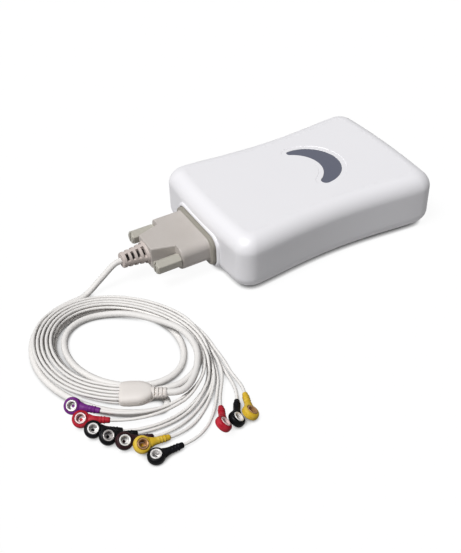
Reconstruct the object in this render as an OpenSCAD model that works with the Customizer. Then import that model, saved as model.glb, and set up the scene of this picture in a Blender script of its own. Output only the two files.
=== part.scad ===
// PC-based ECG recorder: a white box with a crescent indicator window, a 15-way
// socket with its screwed-on plug, and a patient cable that lies coiled beside it.
// Origin: under the middle of the box, on the surface it stands on.
// +X points away from the patient socket, +Z up.

/* [Case] */
// Length of the case, corner to corner
case_l = 137.8; // [120:1:150]
// Width of the case at its corners
case_w = 97.2; // [88:1:110]
// Height of the case with its feet
case_h = 35.8; // [32:0.5:42]
// How far each long side curves in at its middle
side_sag = 4; // [1:0.5:6]
// How far each short end bows out at its middle
end_bow = 1.45; // [0.5:0.05:3]
// Radius of the upright corners
corner_r = 10.6; // [8:0.2:14]
// Rounding of the upper edge
top_round = 9.8; // [6:0.2:12]
// Rounding of the lower edge
low_round = 9; // [6:0.2:10]
// Wall thickness of both covers
wall = 2.2; // [1.6:0.1:3]
// Height of the seam between the covers
seam_z = 4.6; // [3.6:0.2:6]
// How far the feet hold the case off the table
foot_gap = 0.6; // [0.4:0.1:1.5]
// Diameter of a rubber foot
foot_d = 9; // [6:0.5:12]

/* [Indicator window] */
// Radius of the crescent's outer arc
moon_r = 23; // [18:0.5:26]
// X of the outer arc's centre
moon_x = 4.9; // [0:0.5:12]
// Radius of the arc that cuts the crescent
bite_r = 20.1; // [16:0.5:24]
// X of the cutting arc's centre
bite_x = -5; // [-10:0.5:0]
// Radius that blunts the crescent's tips
tip_r = 1.6; // [0.6:0.2:3]
// Thickness of the window
window_t = 1.4; // [0.8:0.1:1.8]
// Diameter of the light pipe under the window
pipe_d = 8; // [4:0.5:11]

/* [Socket and plug] */
// Distance between the two thumbscrews
screw_pitch = 33.3; // [33.3:0.1:36]
// Height of the socket's centre line
socket_z = 15.6; // [14:0.2:18]
// Width of the metal D at its wider side
d_w = 25; // [20:0.5:28]
// Height of the metal D
d_h = 8.3; // [7.5:0.1:9]
// Sheet thickness of both metal shells
sheet = 0.5; // [0.3:0.05:0.7]
// How far the shells overlap when mated
mate = 5.6; // [4.5:0.1:6.5]
// Length of the plug's wide block
block_l = 17.5; // [14:0.5:22]
// Half width of the wide block
block_w2 = 20.3; // [20:0.1:23]
// Height of the wide block
block_h = 14.6; // [12:0.2:17]
// Thickness of the plug's front rim
rim_t = 3.4; // [2:0.2:5]
// How far the rim stands out round the block
rim_out = 2.6; // [1:0.2:3]
// Length of the tapered neck
neck_l = 14; // [10:0.5:18]
// Half width of the neck at the shoulders
neck_w2 = 12; // [9:0.5:12]
// Half width of the neck at the boot
neck_end_w2 = 8; // [6:0.5:9]
// Across the corners of a thumbscrew head
knob_d = 8.6; // [7:0.2:8.8]
// Length of a thumbscrew head
knob_l = 15; // [10:0.5:18]
// Diameter of a thumbscrew's thread
thread_d = 2.8; // [2.5:0.1:3.2]
// Thickness of a retaining clip
clip_t = 0.8; // [0.6:0.1:1.2]
// How far a thumbscrew backs out
back_out = 5.08; // [4:0.02:5.5]

/* [Boot] */
// Length of the cable boot
boot_l = 15.3; // [12:0.1:20]
// Diameter of the boot at the plug
boot_d1 = 11.8; // [10:0.1:13]
// Diameter of the boot at its tip
boot_d2 = 9.2; // [7:0.1:10]
// Width of each flexing slot
slot_w = 1.5; // [0.8:0.1:2]
// Depth of each flexing slot
slot_depth = 1.9; // [1:0.1:2.4]

/* [Cable] */
// Diameter of the trunk cable
trunk_d = 3.6; // [3:0.1:3.8]
// Diameter of a lead wire
lead_d = 1.6; // [1.2:0.1:1.7]
// Length of the yoke's body
yoke_l = 16.4; // [14:0.2:20]
// Width of the yoke's body
yoke_w = 14.4; // [12:0.2:16]
// Height of the yoke's body
yoke_h = 7.6; // [6:0.2:8]
// Length of the yoke's ribbed relief
relief_l = 7.1; // [5:0.1:9]
// Diameter of the relief at the yoke
relief_d = 6.4; // [5:0.1:7]

/* [Snaps] */
// Diameter of a snap's round head
snap_d = 8.8; // [8:0.1:9.2]
// Thickness of the head
snap_t = 4; // [3.6:0.1:4.2]
// Rounding of the head's rim
snap_round = 1.5; // [0.5:0.1:1.8]
// Distance from the head's centre to the tail's end
tail_l = 14.2; // [12:0.2:16]
// Diameter of the tail at the head
tail_d1 = 3.6; // [3:0.1:4.2]
// Diameter of the tail at its end
tail_d2 = 2.8; // [2.4:0.1:3.6]
// Diameter of the stud that a snap takes
stud_d = 4; // [3.8:0.05:4.2]
// Wall of the metal ring in a snap
ring_wall = 1; // [0.6:0.1:1.2]

/* [Inside] */
// Thickness of the circuit board
board_t = 1.6; // [1:0.1:2.4]
// Space between the board's ends and the case's short ends
board_end_gap = 5.9; // [5.9:0.1:12]
// Space between the board's long edges and the case's corners
board_side_gap = 10.6; // [9.6:0.1:18]
// Diameter of a case screw's shank
case_screw_d = 3; // [2.5:0.1:3.5]
// Diameter of a board screw's shank
board_screw_d = 2.5; // [2:0.1:3]

/* [Hidden] */
$fn = 48;
// clearance between pieces that are assembled
gap = 0.2;
// clearance round a screw or pin
play = 0.05;
end_x = case_l / 2 + end_bow;

// Board, its screws and the case screws
board_z = 7.6;
board_top = board_z + board_t;
boss_x = case_l / 2 - 15;
boss_y = case_w / 2 - 15.5;
boss_d = 7;
boss_play = 1.6;
board_l = case_l - 2 * board_end_gap;
board_w = case_w - 2 * board_side_gap;
board_mid_l = 2 * (boss_x - boss_d / 2 - boss_play);
board_end_w = 2 * (boss_y - boss_d / 2 - boss_play);
post_x = board_mid_l / 2 - 5;
post_y = board_w / 2 - 5;
foot_x = case_l / 2 - 24;
foot_y = case_w / 2 - 20;

// Places along the plug, counted outwards from the case's end
face_x = -end_x - 0.05;
frame_t = 5;
frame_z = socket_z - 0.9;
flange_x = face_x + frame_t;
jack_l = frame_t + 0.6;
plug_x = face_x - gap;
block_x = plug_x - rim_t;
shoulder_x = block_x - block_l;
neck_x = shoulder_x - neck_l;
boot_x = neck_x - boot_l;
screw_y = screw_pitch / 2;
clip_x = plug_x - 6;
clip_d = 6;
screw_hole_d = thread_d + 0.8;

function smooth(x) = let (c = min(max(x, 0), 1)) c * c * (3 - 2 * c);
// Value at t of a list of [t, value] keys, at rest at each key
function stepped(t, k, i = 0) = t <= k[0][0] ? k[0][1]
    : i + 2 > len(k) ? k[len(k) - 1][1]
    : t <= k[i + 1][0] ? k[i][1] + (k[i + 1][1] - k[i][1]) * smooth((t - k[i][0]) / (k[i + 1][0] - k[i][0]))
    : stepped(t, k, i + 1);
// Slope of the smooth curve through the keys at key j
function slope(k, j) = let (a = max(j - 1, 0), b = min(j + 1, len(k) - 1))
    (k[b][1] - k[a][1]) / (k[b][0] - k[a][0]);
function span_of(t, k, i = 0) = i >= len(k) - 2 || t <= k[i + 1][0] ? i : span_of(t, k, i + 1);
// Value at t of the smooth curve through the keys
function flowing(t, k) = let (i = span_of(t, k), h = k[i + 1][0] - k[i][0],
        f = min(max((t - k[i][0]) / h, 0), 1), f2 = f * f, f3 = f2 * f)
    (2 * f3 - 3 * f2 + 1) * k[i][1] + (f3 - 2 * f2 + f) * slope(k, i) * h
    + (3 * f2 - 2 * f3) * k[i + 1][1] + (f3 - f2) * slope(k, i + 1) * h;
// Points of a smooth curve through a list of points, n to each span
function bend(a, b, c, d, t) = 0.5 * (2 * b + (c - a) * t + (2 * a - 5 * b + 4 * c - d) * t * t
    + (3 * b - a - 3 * c + d) * t * t * t);
function curve(p, n) = let (m = len(p), q = concat([2 * p[0] - p[1]], p, [2 * p[m - 1] - p[m - 2]]))
    concat([for (i = [1:m - 1], k = [0:n - 1]) bend(q[i - 1], q[i], q[i + 1], q[i + 2], k / n)],
    [p[m - 1]]);

// Points after a that lead smoothly to b, leaving along da and arriving from db
function swing(a, da, b, db, n) = let (r = norm(b - a) * 0.36, p = a + da * r, q = b + db * r)
    [for (i = [1:n]) let (t = i / n, e = 1 - t)
        e * e * e * a + 3 * e * e * t * p + 3 * e * t * t * q + t * t * t * b];
function unit(v) = v / norm(v);

// Sweep: a closed tube of the given radius and number of sides along the points
module tube(p, r, sides) {
    m = len(p);
    dirs = [for (i = [0:m - 1]) let (a = p[max(i - 1, 0)], b = p[min(i + 1, m - 1)]) (b - a) / norm(b - a)];
    rings = [for (i = [0:m - 1]) let (d = dirs[i], s0 = cross(d, [0, 0, 1]), s = s0 / norm(s0), u = cross(s, d))
        for (j = [0:sides - 1]) let (w = (j + 0.5) * 360 / sides) p[i] + r * (cos(w) * s + sin(w) * u)];
    walls = [for (i = [0:m - 2], j = [0:sides - 1]) let (a = i * sides + j, b = i * sides + (j + 1) % sides)
        each [[a, a + sides, b], [b, a + sides, b + sides]]];
    first = [for (j = [1:sides - 2]) [0, j, j + 1]];
    last = [for (j = [1:sides - 2]) let (o = (m - 1) * sides) [o, o + j + 1, o + j]];
    polyhedron(points = rings, faces = concat(walls, first, last), convexity = 10);
}

// Outline of the case at an inset from its widest level
function side_y(x, a, b, r) = b - side_sag * pow(max(1 - pow(x / (a - r), 2), 0), 1.5);
function outline(inset) = let (a = case_l / 2 - inset, b = case_w / 2 - inset,
        r = max(corner_r - 0.6 * inset, 2), n = 8, m = 20)
    concat([for (i = [0:n]) [a - r + r * cos(i * 90 / n), b - r + r * sin(i * 90 / n)]],
    [for (i = [1:m - 1]) let (x = (a - r) * (1 - 2 * i / m)) [x, side_y(x, a, b, r)]],
    [for (i = [0:n]) [-a + r - r * sin(i * 90 / n), b - r + r * cos(i * 90 / n)]],
    [for (i = [1:5]) let (y = (b - r) * (1 - i / 3)) [-a - end_bow * (1 - pow(y / (b - r), 2)), y]],
    [for (i = [0:n]) [-a + r - r * cos(i * 90 / n), -b + r - r * sin(i * 90 / n)]],
    [for (i = [1:m - 1]) let (x = (a - r) * (2 * i / m - 1)) [x, -side_y(x, a, b, r)]],
    [for (i = [0:n]) [a - r + r * sin(i * 90 / n), -b + r - r * cos(i * 90 / n)]],
    [for (i = [1:5]) let (y = (b - r) * (i / 3 - 1)) [a + end_bow * (1 - pow(y / (b - r), 2)), y]]);
// Closed body of the case's shape, drawn in by t all round; its underside can start lower
module case_body(t, under = 0) {
    z0 = foot_gap + t;
    z1 = case_h - t;
    lr = low_round - t;
    tr = top_round - t;
    steps = 6;
    levels = concat([[z0 - under, t + lr]],
        [for (i = [1:steps]) let (w = i * 90 / steps) [z0 + lr * (1 - cos(w)), t + lr * (1 - sin(w))]],
        [for (i = [steps:-1:0]) let (w = i * 90 / steps) [z1 - tr * (1 - cos(w)), t + tr * (1 - sin(w))]]);
    loops = [for (v = levels) [for (p = outline(v[1])) [p[0], p[1], v[0]]]];
    n = len(loops[0]);
    points = [for (l = loops) each l];
    walls = [for (i = [0:len(levels) - 2], j = [0:n - 1]) let (a = i * n + j, b = i * n + (j + 1) % n)
        each [[a, a + n, b], [b, a + n, b + n]]];
    floor_face = [[for (j = [0:n - 1]) j]];
    roof_face = [[for (j = [n - 1:-1:0]) (len(levels) - 1) * n + j]];
    polyhedron(points = points, faces = concat(walls, floor_face, roof_face), convexity = 4);
}

// The same body cut flat between two heights
module flat_body(t, z0, z1) {
    intersection() {
        case_body(t, 0.1);
        translate([-case_l, -case_w, z0]) cube([2 * case_l, 2 * case_w, z1 - z0]);
    }
}

// Flat shapes of the crescent and of a D-shaped connector
module crescent(grow) {
    offset(r = grow) offset(r = tip_r) offset(r = -tip_r) difference() {
        translate([moon_x, 0]) circle(moon_r);
        translate([bite_x, 0]) circle(bite_r);
    }
}
module d_shape(grow) {
    w = d_w / 2 + grow;
    h = d_h / 2 + grow;
    lean = d_h * tan(10);
    polygon([[-w, h], [w, h], [w - lean, -h], [-w + lean, -h]]);
}
// Stands a flat shape up so that it faces along X, from x0 to x1
module facing(x0, x1, z = socket_z) {
    translate([x0, 0, z]) rotate([90, 0, 90]) linear_extrude(x1 - x0) children();
}
module rod(x0, x1, d, y, z = socket_z) {
    translate([x0, y, z]) rotate([0, 90, 0]) cylinder(h = x1 - x0, d = d);
}
module soft_rect(w, h, r) {
    translate([-w / 2 + r, -h / 2]) square([w - 2 * r, h]);
    translate([-w / 2, -h / 2 + r]) square([w, h - 2 * r]);
    for (x = [-1, 1], y = [-1, 1]) translate([x * (w / 2 - r), y * (h / 2 - r)]) circle(r);
}
// Middle points of the fifteen contacts, eight above seven
contact_pitch = 2.77;
contacts = [for (row = [0, 1], i = [0:7 - row]) [(i - 3.5 + row / 2) * contact_pitch, 1.42 - 2.84 * row]];

// USB port in the far end
usb_w = 12;
usb_h = 11;
usb_l = 16;
usb_wall = 1.6;
usb_x = end_x - usb_l - 0.4;
usb_z = board_top + usb_h / 2;

module top_cover() {
    color("white") difference() {
        union() {
            difference() {
                intersection() {
                    case_body(0);
                    translate([-case_l, -case_w, seam_z]) cube([2 * case_l, 2 * case_w, case_h]);
                }
                case_body(wall);
            }
            // frame behind the patient socket, with a flat pad outside
            facing(face_x, flange_x - gap, frame_z) soft_rect(47, 2 * (frame_z - seam_z), 5);
            // bosses for the case screws
            for (x = [-1, 1], y = [-1, 1]) translate([x * boss_x, y * boss_y, seam_z + 1])
                cylinder(h = case_h - wall / 2 - seam_z - 1, d = boss_d);
            // collar that holds the light pipe
            translate([pipe_x, 0, case_h - wall - 5]) cylinder(h = 5.2, d = pipe_d + 3);
        }
        // recess and opening of the window
        translate([0, 0, case_h - window_t]) linear_extrude(window_t + 1) crescent(gap / 2);
        translate([pipe_x, 0, case_h - wall - 6]) cylinder(h = wall + 7, d = pipe_d + gap);
        // opening for the mated shells and the two jack sockets
        facing(face_x - 1, flange_x + 1) d_shape(sheet + 1.3);
        for (s = [-1, 1]) rod(face_x - 1, flange_x + 1, 6.2, s * screw_y);
        // mouth of the USB port
        translate([usb_x - gap, -usb_w / 2 - gap, usb_z - usb_h / 2 - gap])
            cube([usb_l + 4, usb_w + 2 * gap, usb_h + 2 * gap]);
        // holes that the case screws bite into
        for (x = [-1, 1], y = [-1, 1]) translate([x * boss_x, y * boss_y, seam_z])
            cylinder(h = 14, d = case_screw_d + 2 * play);
    }
}
pipe_x = (moon_x + moon_r + bite_x + bite_r) / 2;

module bottom_cover() {
    color("white") difference() {
        union() {
            difference() {
                flat_body(0, foot_gap, seam_z - 0.05);
                flat_body(wall, foot_gap + wall, case_h);
            }
            // posts that carry the board
            for (x = [-1, 1], y = [-1, 1]) translate([x * post_x, y * post_y, foot_gap + 0.5])
                cylinder(h = board_z - foot_gap - 0.5, d = 6.4);
            // pillars under the case screws
            for (x = [-1, 1], y = [-1, 1]) translate([x * boss_x, y * boss_y, foot_gap + 0.5])
                cylinder(h = seam_z + 1 - foot_gap - 0.6, d = boss_d + 1);
        }
        for (x = [-1, 1], y = [-1, 1]) {
            translate([x * post_x, y * post_y, foot_gap + 1.6]) cylinder(h = 12, d = board_screw_d + 2 * play);
            translate([x * boss_x, y * boss_y, -1]) cylinder(h = 12, d = case_screw_d + 0.4);
            translate([x * boss_x, y * boss_y, -1]) cylinder(h = 1 + foot_gap + 2.2, d = 2 * case_screw_d + 0.4);
            translate([x * foot_x, y * foot_y, -1]) cylinder(h = 1 + foot_gap + 0.6, d = foot_d + gap);
        }
    }
}

module indicator_window() {
    color([0.42, 0.42, 0.48]) translate([0, 0, case_h - window_t]) linear_extrude(window_t - 0.35) crescent(0);
}
led_h = 1.8;
module light_pipe() {
    color([0.9, 0.92, 0.95]) translate([pipe_x, 0, board_top + led_h + 0.5])
        cylinder(h = case_h - window_t - board_top - led_h - 0.5, d = pipe_d);
}
module status_leds() {
    color("lightyellow") for (s = [-1, 0, 1]) translate([pipe_x - 1, s * 2.6 - 0.8, board_top]) cube([2, 1.6, led_h]);
}

module main_board() {
    color("darkgreen") difference() {
        translate([0, 0, board_z]) linear_extrude(board_t) {
            square([board_l, board_end_w], center = true);
            square([board_mid_l, board_w], center = true);
        }
        for (x = [-1, 1], y = [-1, 1]) translate([x * post_x, y * post_y, board_z - 1])
            cylinder(h = board_t + 2, d = board_screw_d + 0.4);
    }
}
shield_l = 34;
shield_w = 50;
shield_h = 6;
shield_t = 0.4;
shield_x = 25 - board_l / 2;
// isolation barrier, the far circuit and the row of tall parts along each long edge
barrier_x = shield_x + shield_l + 8;
far_x = board_l / 2 - 25;
edge_y = board_w / 2 - 10;
module input_shield() {
    color("silver") translate([shield_x, -shield_w / 2, board_top]) difference() {
        cube([shield_l, shield_w, shield_h]);
        translate([shield_t, shield_t, -1]) cube([shield_l - 2 * shield_t, shield_w - 2 * shield_t, shield_h + 1 - shield_t]);
        for (i = [0:4], j = [0:6]) translate([shield_l / 2 + (i - 2) * 5.5, shield_w / 2 + (j - 3) * 6, 2])
            cylinder(h = shield_h, d = 1.6);
    }
}
module input_resistors() {
    color("tan") for (i = [0:9]) translate([13 - board_l / 2, (i - 4.5) * 4.4, board_top + 1.2]) rotate([0, 90, 0])
        cylinder(h = 8, d = 2.4);
}
module chip(x, y, l, w, h) {
    translate([x - l / 2, y - w / 2, board_top]) cube([l, w, h]);
}
module circuit_chips() {
    color([0.12, 0.12, 0.13]) {
        chip(shield_x + 12, 10, 14, 14, 1.6);
        chip(shield_x + 12, -12, 10, 10, 1.6);
        chip(barrier_x + 2, edge_y - 10, 10.3, 7.5, 2.4);
        chip(barrier_x + 2, 10 - edge_y, 10.3, 7.5, 2.4);
        chip(far_x, -8, 14, 14, 1.5);
        chip(far_x, edge_y - 14, 7, 7, 1.1);
        chip(far_x + 6, edge_y - 1, 11, 4.6, 3.4);
    }
}
module isolation_transformer() {
    color([0.85, 0.75, 0.2]) translate([barrier_x, 0, board_top]) {
        translate([-6, -6.5, 0]) cube([12, 13, 3]);
        translate([0, 0, 2.8]) cylinder(h = 6, d = 10);
        translate([-6, -6.5, 8.4]) cube([12, 13, 2.6]);
    }
}
module capacitors() {
    color([0.2, 0.25, 0.4]) for (p = [[barrier_x + 14, edge_y], [barrier_x + 4, edge_y], [barrier_x + 14, -edge_y],
        [11 - board_l / 2, board_end_w / 2 - 4]]) translate([p[0], p[1], board_top]) cylinder(h = 7.7, d = 6.3);
}
module board_screws() {
    color("silver") for (x = [-1, 1], y = [-1, 1]) translate([x * post_x, y * post_y, 0]) {
        translate([0, 0, foot_gap + 2]) cylinder(h = board_top - foot_gap - 1.9, d = board_screw_d);
        translate([0, 0, board_top]) cylinder(h = 1.6, d = 4.6);
    }
}
module case_screws() {
    color("silver") for (x = [-1, 1], y = [-1, 1]) translate([x * boss_x, y * boss_y, 0]) difference() {
        union() {
            translate([0, 0, foot_gap + 0.4]) cylinder(h = 1.8, d = 2 * case_screw_d);
            translate([0, 0, foot_gap + 2]) cylinder(h = 12, d = case_screw_d);
        }
        for (w = [0, 90]) rotate([0, 0, w]) translate([-1.6, -0.4, 0]) cube([3.2, 0.8, foot_gap + 1.4]);
    }
}
module rubber_feet() {
    color([0.2, 0.2, 0.2]) for (x = [-1, 1], y = [-1, 1]) translate([x * foot_x, y * foot_y, 0])
        cylinder(h = foot_gap + 0.5, d = foot_d);
}

module usb_socket() {
    color("silver") translate([usb_x, -usb_w / 2, usb_z - usb_h / 2]) difference() {
        cube([usb_l, usb_w, usb_h]);
        translate([2, usb_wall, usb_wall]) cube([usb_l, usb_w - 2 * usb_wall, usb_h - 2 * usb_wall]);
    }
}
module usb_tongue() {
    color("white") translate([usb_x + 2, -2.8, usb_z - 1.6]) cube([usb_l - 7, 5.6, 3.2]);
}

module socket_shell() {
    color("silver") {
        difference() {
            union() {
                facing(flange_x, flange_x + 0.8) soft_rect(39.2, 12.5, 1.5);
                facing(face_x + 0.4, flange_x + 0.1) d_shape(-0.1);
            }
            facing(face_x - 1, flange_x + 2) d_shape(-0.1 - sheet);
            for (s = [-1, 1]) rod(flange_x - 1, flange_x + 2, 3.2, s * screw_y);
        }
    }
}
module socket_insert() {
    color([0.1, 0.1, 0.12]) difference() {
        union() {
            facing(face_x + 0.5, flange_x + 6) d_shape(-0.15 - sheet);
            translate([flange_x + 0.9, -15, board_top]) cube([9, 30, socket_z - board_top + 5]);
        }
        for (c = contacts) rod(face_x, flange_x + 4, 1.16, c[0], socket_z + c[1]);
        for (c = contacts) rod(flange_x + 6, flange_x + 12, 1, c[0], socket_z + c[1]);
        translate([flange_x + 5, -14, board_top - 1]) cube([6, 28, socket_z - board_top - 2]);
    }
}
module socket_contacts() {
    color("gold") for (i = [0:len(contacts) - 1]) let (c = contacts[i]) {
        rod(flange_x + 6.1, flange_x + 10.6 + (i < 8 ? 1.6 : 0), 0.9, c[0], socket_z + c[1]);
        translate([flange_x + 10.6 + (i < 8 ? 1.6 : 0), c[0], board_top]) cylinder(h = socket_z + c[1] - board_top + 0.6, d = 1.1);
    }
}
module jack_sockets() {
    color("silver") for (s = [-1, 1]) difference() {
        union() {
            translate([flange_x - jack_l + 0.6, s * screw_y, socket_z]) rotate([0, 90, 0])
                cylinder(h = jack_l - 0.6, d = 5.4, $fn = 6);
            rod(flange_x - 0.1, flange_x + 5, 3, s * screw_y);
        }
        rod(face_x - 1, flange_x + 3, thread_d + 2 * play, s * screw_y);
    }
}

// Cable plug
hood_z = socket_z + 0.1;
module plug_hood() {
    color([0.81, 0.79, 0.76]) difference() {
        union() {
            facing(block_x - 0.01, plug_x, hood_z - 1) soft_rect(2 * (block_w2 + rim_out), block_h + 2 * rim_out - 0.6, 6.5);
            facing(shoulder_x, block_x + 0.01, hood_z) soft_rect(2 * block_w2, block_h, 5);
            translate([0, 0, hood_z - block_h / 2 + 0.3]) linear_extrude(block_h - 0.5)
                polygon([[shoulder_x + 1, -neck_w2 + 0.2], [shoulder_x + 1, neck_w2 - 0.2], [shoulder_x, neck_w2], [neck_x, neck_end_w2], [neck_x, -neck_end_w2], [shoulder_x, -neck_w2]]);
        }
        // pocket for the plug's metal shell and insert
        facing(plug_x - 1.2, plug_x + 1) soft_rect(39.6, 12.9, 1.6);
        facing(plug_x - 10, plug_x + 1) d_shape(gap);
        for (s = [-1, 1]) {
            rod(shoulder_x - 1, plug_x + 1, screw_hole_d, s * screw_y);
            rod(clip_x - clip_t - back_out - 2 * gap, plug_x + 1, clip_d + 2 * gap, s * screw_y);
        }
    }
}
module plug_shell() {
    color("silver") difference() {
        union() {
            facing(plug_x - 1.1, plug_x - 0.3) soft_rect(39.2, 12.5, 1.5);
            facing(plug_x - 0.4, plug_x + mate - 0.4) d_shape(gap + sheet);
            facing(plug_x - 6, plug_x - 1) d_shape(0);
        }
        facing(plug_x - 7, plug_x + mate + 1) d_shape(-sheet);
        facing(plug_x - 0.3, plug_x + mate + 1) d_shape(gap);
        for (s = [-1, 1]) rod(plug_x - 2, plug_x + 2, screw_hole_d, s * screw_y);
    }
}
module plug_insert() {
    color([0.1, 0.1, 0.12]) difference() {
        facing(plug_x - 8.5, plug_x - 0.4) d_shape(-sheet - play);
        for (c = contacts) rod(plug_x - 8, plug_x + 1, 1, c[0], socket_z + c[1]);
    }
}
module plug_pins() {
    color("gold") for (c = contacts) rod(plug_x - 8, plug_x + mate - 0.8, 1, c[0], socket_z + c[1]);
}
module clip(s) {
    color("silver") difference() {
        rod(clip_x - clip_t, clip_x, clip_d, s * screw_y);
        rod(clip_x - 5, clip_x + 5, thread_d + 2 * play, s * screw_y);
    }
}
module thumbscrew(s) {
    color([0.74, 0.72, 0.69]) difference() {
        union() {
            translate([shoulder_x - knob_l - gap, s * screw_y, socket_z]) rotate([0, 90, 0])
                cylinder(h = knob_l, d = knob_d, $fn = 6);
            rod(shoulder_x - gap - 0.1, flange_x - 0.6, thread_d, s * screw_y);
            rod(shoulder_x - knob_l - gap - 0.5, shoulder_x - gap - knob_l + 0.1, knob_d - 2.4, s * screw_y);
        }
        // screwdriver slot
        translate([shoulder_x - knob_l - gap - 1, s * screw_y - 0.6, socket_z - 5]) cube([1.4, 1.2, 10]);
    }
}
slot_pitch = 3.3;
module cable_boot() {
    color([0.82, 0.78, 0.75]) difference() {
        translate([boot_x, 0, socket_z]) rotate([0, 90, 0]) cylinder(h = boot_l, d1 = boot_d2, d2 = boot_d1);
        for (i = [0:3]) let (x = neck_x - 1.6 - i * slot_pitch, d = boot_d1 - (boot_d1 - boot_d2) * (neck_x - x) / boot_l)
            difference() {
                rod(x - slot_w, x, d + 4, 0);
                rod(x - slot_w - 1, x + 1, d - 2 * slot_depth, 0);
                for (w = [0, 90]) translate([x, 0, socket_z]) rotate([w, 0, 0]) cube([8, 2.6, 30], center = true);
            }
    }
}

// Coil: every strand runs in lanes round one oval, clockwise seen from above
coil_c = [-146, -53];
coil_a = 44;
coil_b = 34;
coil_turn = 119;
function lane(w, u) = let (t = w - coil_turn, x = (coil_a + u) * cos(t), y = (coil_b + u) * sin(t))
    coil_c + [cos(coil_turn) * x - sin(coil_turn) * y, sin(coil_turn) * x + cos(coil_turn) * y];
function lane3(w, u, z) = let (p = lane(w, u)) [p[0], p[1], z];
lane_step = 15;

// Yoke: middle, heading from the lead side to the trunk side
yoke_z = 8.6;
yoke_c = [-155.2, -91.9, yoke_z];
yoke_turn = -28;
yoke_dir = [cos(yoke_turn), sin(yoke_turn), 0];
yoke_side = [-sin(yoke_turn), cos(yoke_turn), 0];
relief_tip = yoke_c + yoke_dir * (yoke_l / 2 + relief_l);

// Trunk: degrees travelled and the lane or height there
start_w = 265;
trunk_r = trunk_d / 2;
rest_z = 1.9;
trunk_lane = [[0, -0.8], [60, 1], [115, 2.2], [160, 0.8], [205, -0.5], [245, -0.8], [290, 0.4], [330, -2],
    [360, -5.3], [400, -5.2], [475, -4], [565, -4.9], [605, -5.3], [660, -8.2], [720, -10], [790, -9.6],
    [835, -10], [925, -9.4], [965, -9.8], [1000, -4.9], [1025, -0.6], [1042, 2], [1058, 3.6]];
// the coil starts where the free stretch has turned back
turn_out = lane3(start_w - 3, 8.5, rest_z);
turn_in = lane3(start_w, -0.8, rest_z);
turn_c = (turn_out + turn_in) / 2;
turn_v = (turn_out - turn_in) / 2;
joint_dir = [-turn_v[1], turn_v[0], 0] / -norm(turn_v);
joint = turn_in + joint_dir * trunk_d;
trunk_rise = [[0, rest_z], [900, rest_z], [1012, 9.8], [1035, 9.7], [1058, yoke_z]];
function coil_at(t) = lane3(start_w - t, flowing(t, trunk_lane), stepped(t, trunk_rise));
last_turn = 1035;
coil_path = concat([joint, joint + joint_dir * trunk_d], [for (t = [30:lane_step:last_turn]) coil_at(t)],
    swing(coil_at(last_turn), unit(coil_at(last_turn) - coil_at(last_turn - 3)),
        relief_tip + yoke_dir * trunk_d, yoke_dir, 4), [relief_tip]);
// Least gap between two turns, measured between rings more than an eighth of a turn apart
apart = 8;
rings = len(coil_path);
coil_gap = min([for (i = [0:rings - apart - 1], j = [i + apart:rings - 1]) norm(coil_path[i] - coil_path[j])]) - trunk_d;
echo("least gap between turns of the coil, mm", coil_gap);
module trunk_coil() {
    color([0.9, 0.9, 0.89]) tube(coil_path, trunk_r, 6);
}
// The free stretch drops from the boot, joins the coil's outside and turns back under the yoke
free_path = concat(
    [[boot_x, 0, socket_z], [boot_x - trunk_d, 0, socket_z - 0.5], [-128, 0, 13], [-132, -0.2, 10], [-136.7, -0.6, 6.8],
    [-141, -1.4, 4.2], [-145, -2.3, 2.5], [-149.5, -3.4, 1.9]],
    [for (w = [100:15:235]) lane3(w, flowing(w, [[100, 7.2], [130, 7.1], [175, 7.6], [205, 7.6], [250, 8.5]]), rest_z)],
    [lane3(250, 8.5, rest_z)],
    [for (w = [0:30:180]) turn_c + cos(w) * turn_v + sin(w) * [-turn_v[1], turn_v[0], 0]]);
module trunk_free() {
    color([0.9, 0.9, 0.89]) tube(concat(curve(free_path, 2), [joint]), trunk_r, 8);
}

// Leads, from the inside of the coil outwards; odd ones lie on top of even ones
left_lane = [-3.6, -1.3, 1.2, 3.4, 5.6];
far_lane = [-6.4, -4.3, -2.2, -0.1, 3.6];
far_right_lane = [-5.6, -3.5, -1.4, 0.9, 3.2];
right_lane = [-0.8, 1.3, 3.4, 5.5, 7.6];
fan_at = [246, 260, 272, 284, 298];
fan_lane = [[2.6, 5, 6.6, 8, 9.4], [3, 5.8, 7.8, 10, 11.6], [4.6, 7.4, 9.6, 11.6, 13.9],
    [5.1, 8.2, 10.9, 13.8, 16.6], [6.1, 10.2, 13, 16.2, 19.6], [7.1, 11.4, 15.2, 19.4, 23.6],
    [8.7, 13.4, 17.2], [11, 17.2], [12.9, 22.6], [15.3, 26.4]];
lead_r = lead_d / 2;
low_z = 0.95;
row_z = [4.9, 6.8];
down_z = [0.95, 2.8];
exit_pitch = 2.2;
exit_rise = 1.15;
function row_of(k) = k % 2;
function col_of(k) = floor(k / 2);
function nudge(k) = row_of(k) == 1 ? 0.35 : -0.35;
function lead_lane(k) = let (c = col_of(k), s = nudge(k))
    concat([[-38, exit_pitch * (c - 1)], [0, 0.6 * (exit_pitch * c - 2) + 0.4 * left_lane[c] + s], [50, left_lane[c] + s],
    [140, far_lane[c] + s], [180, far_right_lane[c] + s], [228, right_lane[c] + 1.2 * s]],
    [for (i = [0:len(fan_lane[k]) - 1]) [fan_at[i], fan_lane[k][i]]]);
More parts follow.
